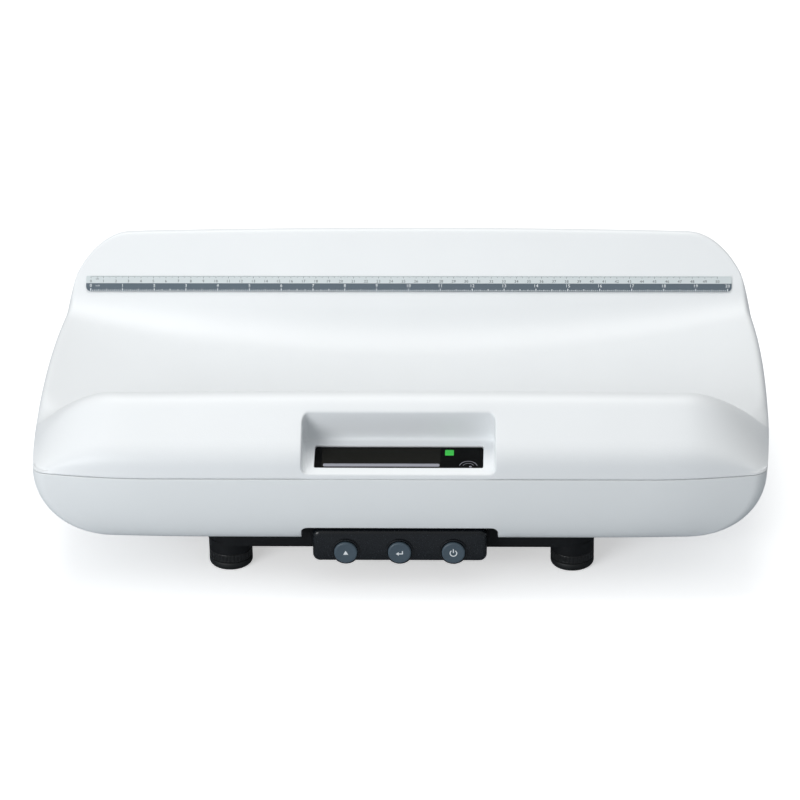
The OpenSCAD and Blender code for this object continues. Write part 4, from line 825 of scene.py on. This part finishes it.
FIELD = (-57.5, 31.0, -32.2, -9.2)
BAR = (-56.5, 30.5, -31.0, -27.6)
MARK_X, MARK_V, MARK_HALF = 37.7, -14.4, 3.3
LEVEL, LEVEL_R = (52.0, -31.2), 6.7
mark_shape = round_rectangle(MARK_X - MARK_HALF, MARK_X + MARK_HALF, MARK_V - MARK_HALF, MARK_V + MARK_HALF,
                             0.7)
level_rings = joined([band_of(LEVEL_R, 0.4, 14, 166, middle=LEVEL),
                      band_of(LEVEL_R - 2.4, 0.25, 24, 156, middle=LEVEL)])
bubble_shape = band_of(0.65, 0.6, 0, 360, steps=24, middle=(LEVEL[0] + 1.6, LEVEL[1] + 0.2))
for name, shape, high, material, slot in (
        ("lcd_field", round_rectangle(*FIELD, 0.5), 0.03, lcd_grey, "lcd"),
        ("lcd_bar", round_rectangle(*BAR, 1.2), 0.06, lcd_bar, "lcd"),
        ("green_square", mark_shape, 0.1, mark_green, "mark_green"),
        ("level_rings", level_rings, 0.04, lcd_bar, "level_glass"),
        ("level_spot", bubble_shape, 0.05, lcd_bar, "level_bubble")):
    thing = piece(name, *thick("display", *shape, -WINDOW_SUNK, -WINDOW_SUNK + high), material, "base", slot)
    if name == "green_square":
        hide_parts("verification_mark")
print("window:", 2 * WINDOW_HALF, "by", WINDOW_LONG, "mm")

# %% [markdown]
# ## The control panel
# The panel is a small black housing, open at the back, with soft edges, and each button stands in a raised
# ring. Its outside is a rounded rectangle that shrinks round a quarter circle as it comes forward. The front
# is filled between its edge and three round holes, and every hole carries its ring as a turned profile.

# %% The panel housing
PANEL_HALF, PANEL_LOW, PANEL_HIGH = 65.5, 20.0, 47.0
PANEL_FACE, PANEL_BACK, PANEL_WALL, PANEL_R, PANEL_CORNER = -151.0, -131.0, 2.5, 4.0, 5.5
BUTTON_Z, BUTTON_PITCH, BUTTON_R = 29.6, 40.5, 8.75
HOLE_R, RING_IN, RING_OUT, RING_HIGH = 6.85, 9.15, 10.4, 1.6
TURNS = 64


def panel_loop(inset, y):
    """The panel's outline in the X-Z plane, drawn in by inset, at depth y."""
    flat, _ = round_rectangle(-PANEL_HALF + inset, PANEL_HALF - inset, PANEL_LOW + inset, PANEL_HIGH - inset,
                              max(PANEL_CORNER - inset, 0.8), 10)
    return np.stack([flat[:, 0], np.full(len(flat), y), flat[:, 1]], 1)


def turned_ring(profile, x):
    """Rings round a button's axis, which is at x along Y: one for each (radius, y) of the profile."""
    a = np.linspace(0, 2 * np.pi, TURNS, endpoint=False)
    r, y = np.array(profile, float).T[:, :, None]
    return np.stack([x + r * np.cos(a), y + 0 * a, BUTTON_Z + r * np.sin(a)], 2)


def filled(points, loops):
    """Triangles that fill the flat area inside the first loop and outside the others."""
    work = bmesh.new()
    corners_of = {}
    for loop in loops:
        made = [work.verts.new(points[i]) for i in loop]
        corners_of.update({vert: int(i) for vert, i in zip(made, loop)})
        for a, b in zip(made, made[1:] + made[:1]):
            work.edges.new((a, b))
    bmesh.ops.triangle_fill(work, edges=work.edges[:], use_beauty=True)
    faces = [tuple(corners_of[v] for v in f.verts) for f in work.faces]
    work.free()
    return faces


top = PANEL_FACE - RING_HIGH
ring_profile = [
    (RING_OUT + 0.45, PANEL_FACE), (RING_OUT + 0.1, PANEL_FACE - 0.1), (RING_OUT, PANEL_FACE - 0.45),
    (RING_OUT, top + 0.45), (RING_OUT - 0.13, top + 0.13), (RING_OUT - 0.45, top),
    (RING_IN + 0.35, top), (RING_IN + 0.1, top + 0.1), (RING_IN, top + 0.35), (RING_IN, PANEL_FACE),
    (HOLE_R, PANEL_FACE), (HOLE_R, PANEL_FACE + PANEL_WALL)]
button_x = [(i - 1) * BUTTON_PITCH for i in range(3)]
housing = np.array([panel_loop(PANEL_WALL, PANEL_FACE + PANEL_WALL), panel_loop(PANEL_WALL, PANEL_BACK),
                    panel_loop(0.0, PANEL_BACK)] + [
    panel_loop(*edge) for edge in corner(PANEL_R, PANEL_FACE + PANEL_R, PANEL_R, 180, 8)])
rings = [closed_rings(turned_ring(ring_profile, x)) for x in button_x]
panel_points, panel_faces = joined([closed_rings(housing)] + rings)
rows, loop_size = housing.shape[:2]
starts = [rows * loop_size + k * len(ring_profile) * TURNS for k in range(4)]
front_loops = [np.arange((rows - 1) * loop_size, starts[0])] + [np.arange(i, i + TURNS) for i in starts[:3]]
rear_loops = [np.arange(loop_size)] + [np.arange(i - TURNS, i) for i in starts[1:]]
panel_faces += filled(panel_points, front_loops) + filled(panel_points, rear_loops)
panel = piece("control_panel", panel_points, panel_faces, panel_black, "base", "black_plastic", 40,
              outward=True)
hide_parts("panel_housing")
print("panel faces:", len(panel_faces))

# %% [markdown]
# ### The buttons
# Each button is a turned body: a plunger behind the panel, a cap with a soft edge and a face that is dished a
# little, so a finger finds its middle. The white signs are printed on: a triangle, a return arrow and the
# common sign for on and off.

# %% The buttons
CAP_FRONT, CAP_BACK, DISH, DISH_R, CAP_EDGE = -154.7, -152.4, 0.35, 7.2, 1.1
PLUNGER_R, STEM_R, TAB_Y0, TAB_Y1, STEM_BACK = 6.5, 2.8, -148.3, -146.9, -142.7
dish_r = np.linspace(DISH_R, 0, 12)
cap_profile = np.vstack([
    [(0, STEM_BACK), (STEM_R, STEM_BACK), (STEM_R, TAB_Y1), (PLUNGER_R, TAB_Y1), (PLUNGER_R, CAP_BACK),
     (BUTTON_R - 0.2, CAP_BACK), (BUTTON_R, CAP_BACK - 0.2)],
    corner(BUTTON_R - CAP_EDGE, CAP_FRONT + CAP_EDGE, CAP_EDGE, -90, 7)[::-1],
    np.stack([dish_r, CAP_FRONT + DISH * (1 - (dish_r / DISH_R) ** 2)], 1)])
tab_flat, tab_faces = round_rectangle(-PLUNGER_R - 3, PLUNGER_R + 3, -4, 4, 0.6)
INK_W = 0.75
triangle = (np.array([(-1.9, -1.5), (1.9, -1.5), (0, 1.9)]), [(0, 1, 2)])
arrow = (np.array([(-2.7, -0.7), (-0.6, -2.3), (-0.6, 0.9), (-0.6, -1.1), (2.6, -1.1), (2.6, -0.3),
                   (-0.6, -0.3), (1.8, -0.3), (2.6, -0.3), (2.6, 1.8), (1.8, 1.8)]),
         [(0, 1, 2), (3, 4, 5, 6), (7, 8, 9, 10)])
power = joined([band_of(2.5, INK_W, 125, 415), bars([0.0], INK_W, 0.3, 3.5)])
signs = {"left": triangle, "middle": arrow, "right": power}


def split_faces(flat, faces):
    """The same faces in small pieces, so that a print follows a dished face."""
    work = bmesh.new()
    verts = [work.verts.new((x, v, 0)) for x, v in flat]
    for f in faces:
        work.faces.new([verts[i] for i in f])
    bmesh.ops.triangulate(work, faces=work.faces[:])
    bmesh.ops.subdivide_edges(work, edges=work.edges[:], cuts=2, use_grid_fill=True)
    work.verts.index_update()
    points = np.array([v.co[:2] for v in work.verts])
    made = [tuple(v.index for v in f.verts) for f in work.faces]
    work.free()
    return points, made


for (side_name, sign), x in zip(signs.items(), button_x):
    tab = thick("front", tab_flat + (x, BUTTON_Z), tab_faces, -TAB_Y1 - 0.02, -TAB_Y0)
    shape = joined([closed_rings(turned_ring(cap_profile, x)), tab])
    body = "key_" + side_name
    cap = piece("cap_" + side_name, *shape, button_grey, body, "button", 40, outward=True)
    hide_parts("button_" + side_name)
    points, faces = thick("front", *split_faces(*sign), 0.0, INK)
    hollow = DISH * (1 - (np.hypot(points[:, 0], points[:, 2]) / DISH_R) ** 2)
    points += np.stack([hollow * 0 + x, hollow + CAP_FRONT, hollow * 0 + BUTTON_Z], 1)
    piece("sign_" + side_name, points, faces, ink_white, body, "strip_light")
print("buttons at x", button_x)

# %% [markdown]
# ## The feet
# Each foot is a rubber pad under a knob with grip ribs, on a steel-hard nylon screw. The ribs are a wave in
# the radius: r - depth * (1 - |cos(n a / 2)|) has n narrow grooves round the knob, and a smooth step along
# the height ends them before the knob's edges.

# %% The feet
FOOT_X, FOOT_YS, FOOT_R = 130.0, {"front": -114.0, "back": 93.0}, 16.5
PAD_HIGH, KNOB_LOW, KNOB_HIGH, SCREW_R, SCREW_TOP = 6.5, 6.8, 13.3, 4.0, 35.3
RIBS, RIB_DEEP, KNOB_EDGE = 36, 0.55, 0.8
FOOT_TURNS = 216
pad_profile = np.vstack([
    [(0, 0.0), (13.2, 0.0)], corner(FOOT_R - 3, 3, 3, -90, 8),
    [(FOOT_R, 5.6), (FOOT_R - 0.3, 6.2), (FOOT_R - 0.9, PAD_HIGH), (4.1, PAD_HIGH), (4.1, 3.3), (0, 3.3)]])
knob_low = corner(FOOT_R - KNOB_EDGE, KNOB_LOW + KNOB_EDGE, KNOB_EDGE, -90, 4)
knob_mid = np.linspace((FOOT_R, KNOB_LOW + KNOB_EDGE), (FOOT_R, KNOB_HIGH - KNOB_EDGE), 11)[1:-1]
knob_high = knob_low[::-1] * [1, -1] + [0, KNOB_LOW + KNOB_HIGH]
screw_profile = np.vstack([[(0, 3.5), (SCREW_R, 3.5), (SCREW_R, KNOB_LOW)], knob_low, knob_mid, knob_high,
                           [(SCREW_R, KNOB_HIGH), (SCREW_R, SCREW_TOP - 0.6), (SCREW_R - 0.6, SCREW_TOP),
                            (0, SCREW_TOP)]])


def turned_foot(profile, x, y, ribs=0.0):
    """Rings round the axis x, y along Z. Rows between the knob's edges get grooves of depth ribs."""
    a = np.linspace(0, 2 * np.pi, FOOT_TURNS, endpoint=False)
    r, z = profile[:, :1], profile[:, 1:]
    inside = smooth_step((z - KNOB_LOW) / 1.6) * smooth_step((KNOB_HIGH - z) / 1.6) * (r > FOOT_R - KNOB_EDGE)
    r = r - ribs * inside * (1 - np.abs(np.cos(RIBS * a / 2))) ** 0.8
    return closed_rings(np.stack([x + r * np.cos(a), y + r * np.sin(a), z + 0 * a], 2))


for depth_name, y in FOOT_YS.items():
    for side_name, x in (("left", -FOOT_X), ("right", FOOT_X)):
        place = depth_name + "_" + side_name
        pad = piece("rubber_pad_" + place, *turned_foot(pad_profile, x, y), foot_rubber, "pad_" + place,
                    "foot_rubber", 50, outward=True)
        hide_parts("foot_pad_" + place)
        knob = piece("knob_" + place, *turned_foot(screw_profile, x, y, RIB_DEEP), foot_black, "screw_" + place,
                     "foot_plastic", 50, outward=True)
        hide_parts("foot_screw_" + place)
print("feet at x", FOOT_X, "y", FOOT_YS)

# %% [markdown]
# ## The parts that stay as they are
# Frames, boards, screws and the base keep the CAD shape and only take their finish, so their node objects get
# the materials made above.

# %% Finishes of the carried-over nodes
finishes = {
    black_abs: ("base_pan", "base_cover", "display_housing", "battery_door", "battery_box", "power_jack",
                "switch_left", "switch_middle", "switch_right", "board_parts"),
    zinc_steel: ("platform_carrier", "carrier_screws", "shell_screws", "cell_plate", "cell_spacer",
                 "cell_fixed_screws", "cell_free_screws", "cover_screws", "overload_stops"),
    milled_aluminium: ("load_cell",),
    turned_brass: ("foot_inserts", "battery_contacts"),
    board_green: ("display_board", "keypad_board", "main_board"),
    lcd_grey: ("lcd_glass",),
    battery_sleeve: ("batteries",),
    plate_film: ("rating_plate",),
    level_green: ("level_body",),
    ink_white: ("level_bubble",),
}
for material, names in finishes.items():
    for name in names:
        for material_slot in nodes[name].material_slots:
            material_slot.material = material
print("finished nodes:", sum(len(names) for names in finishes.values()))
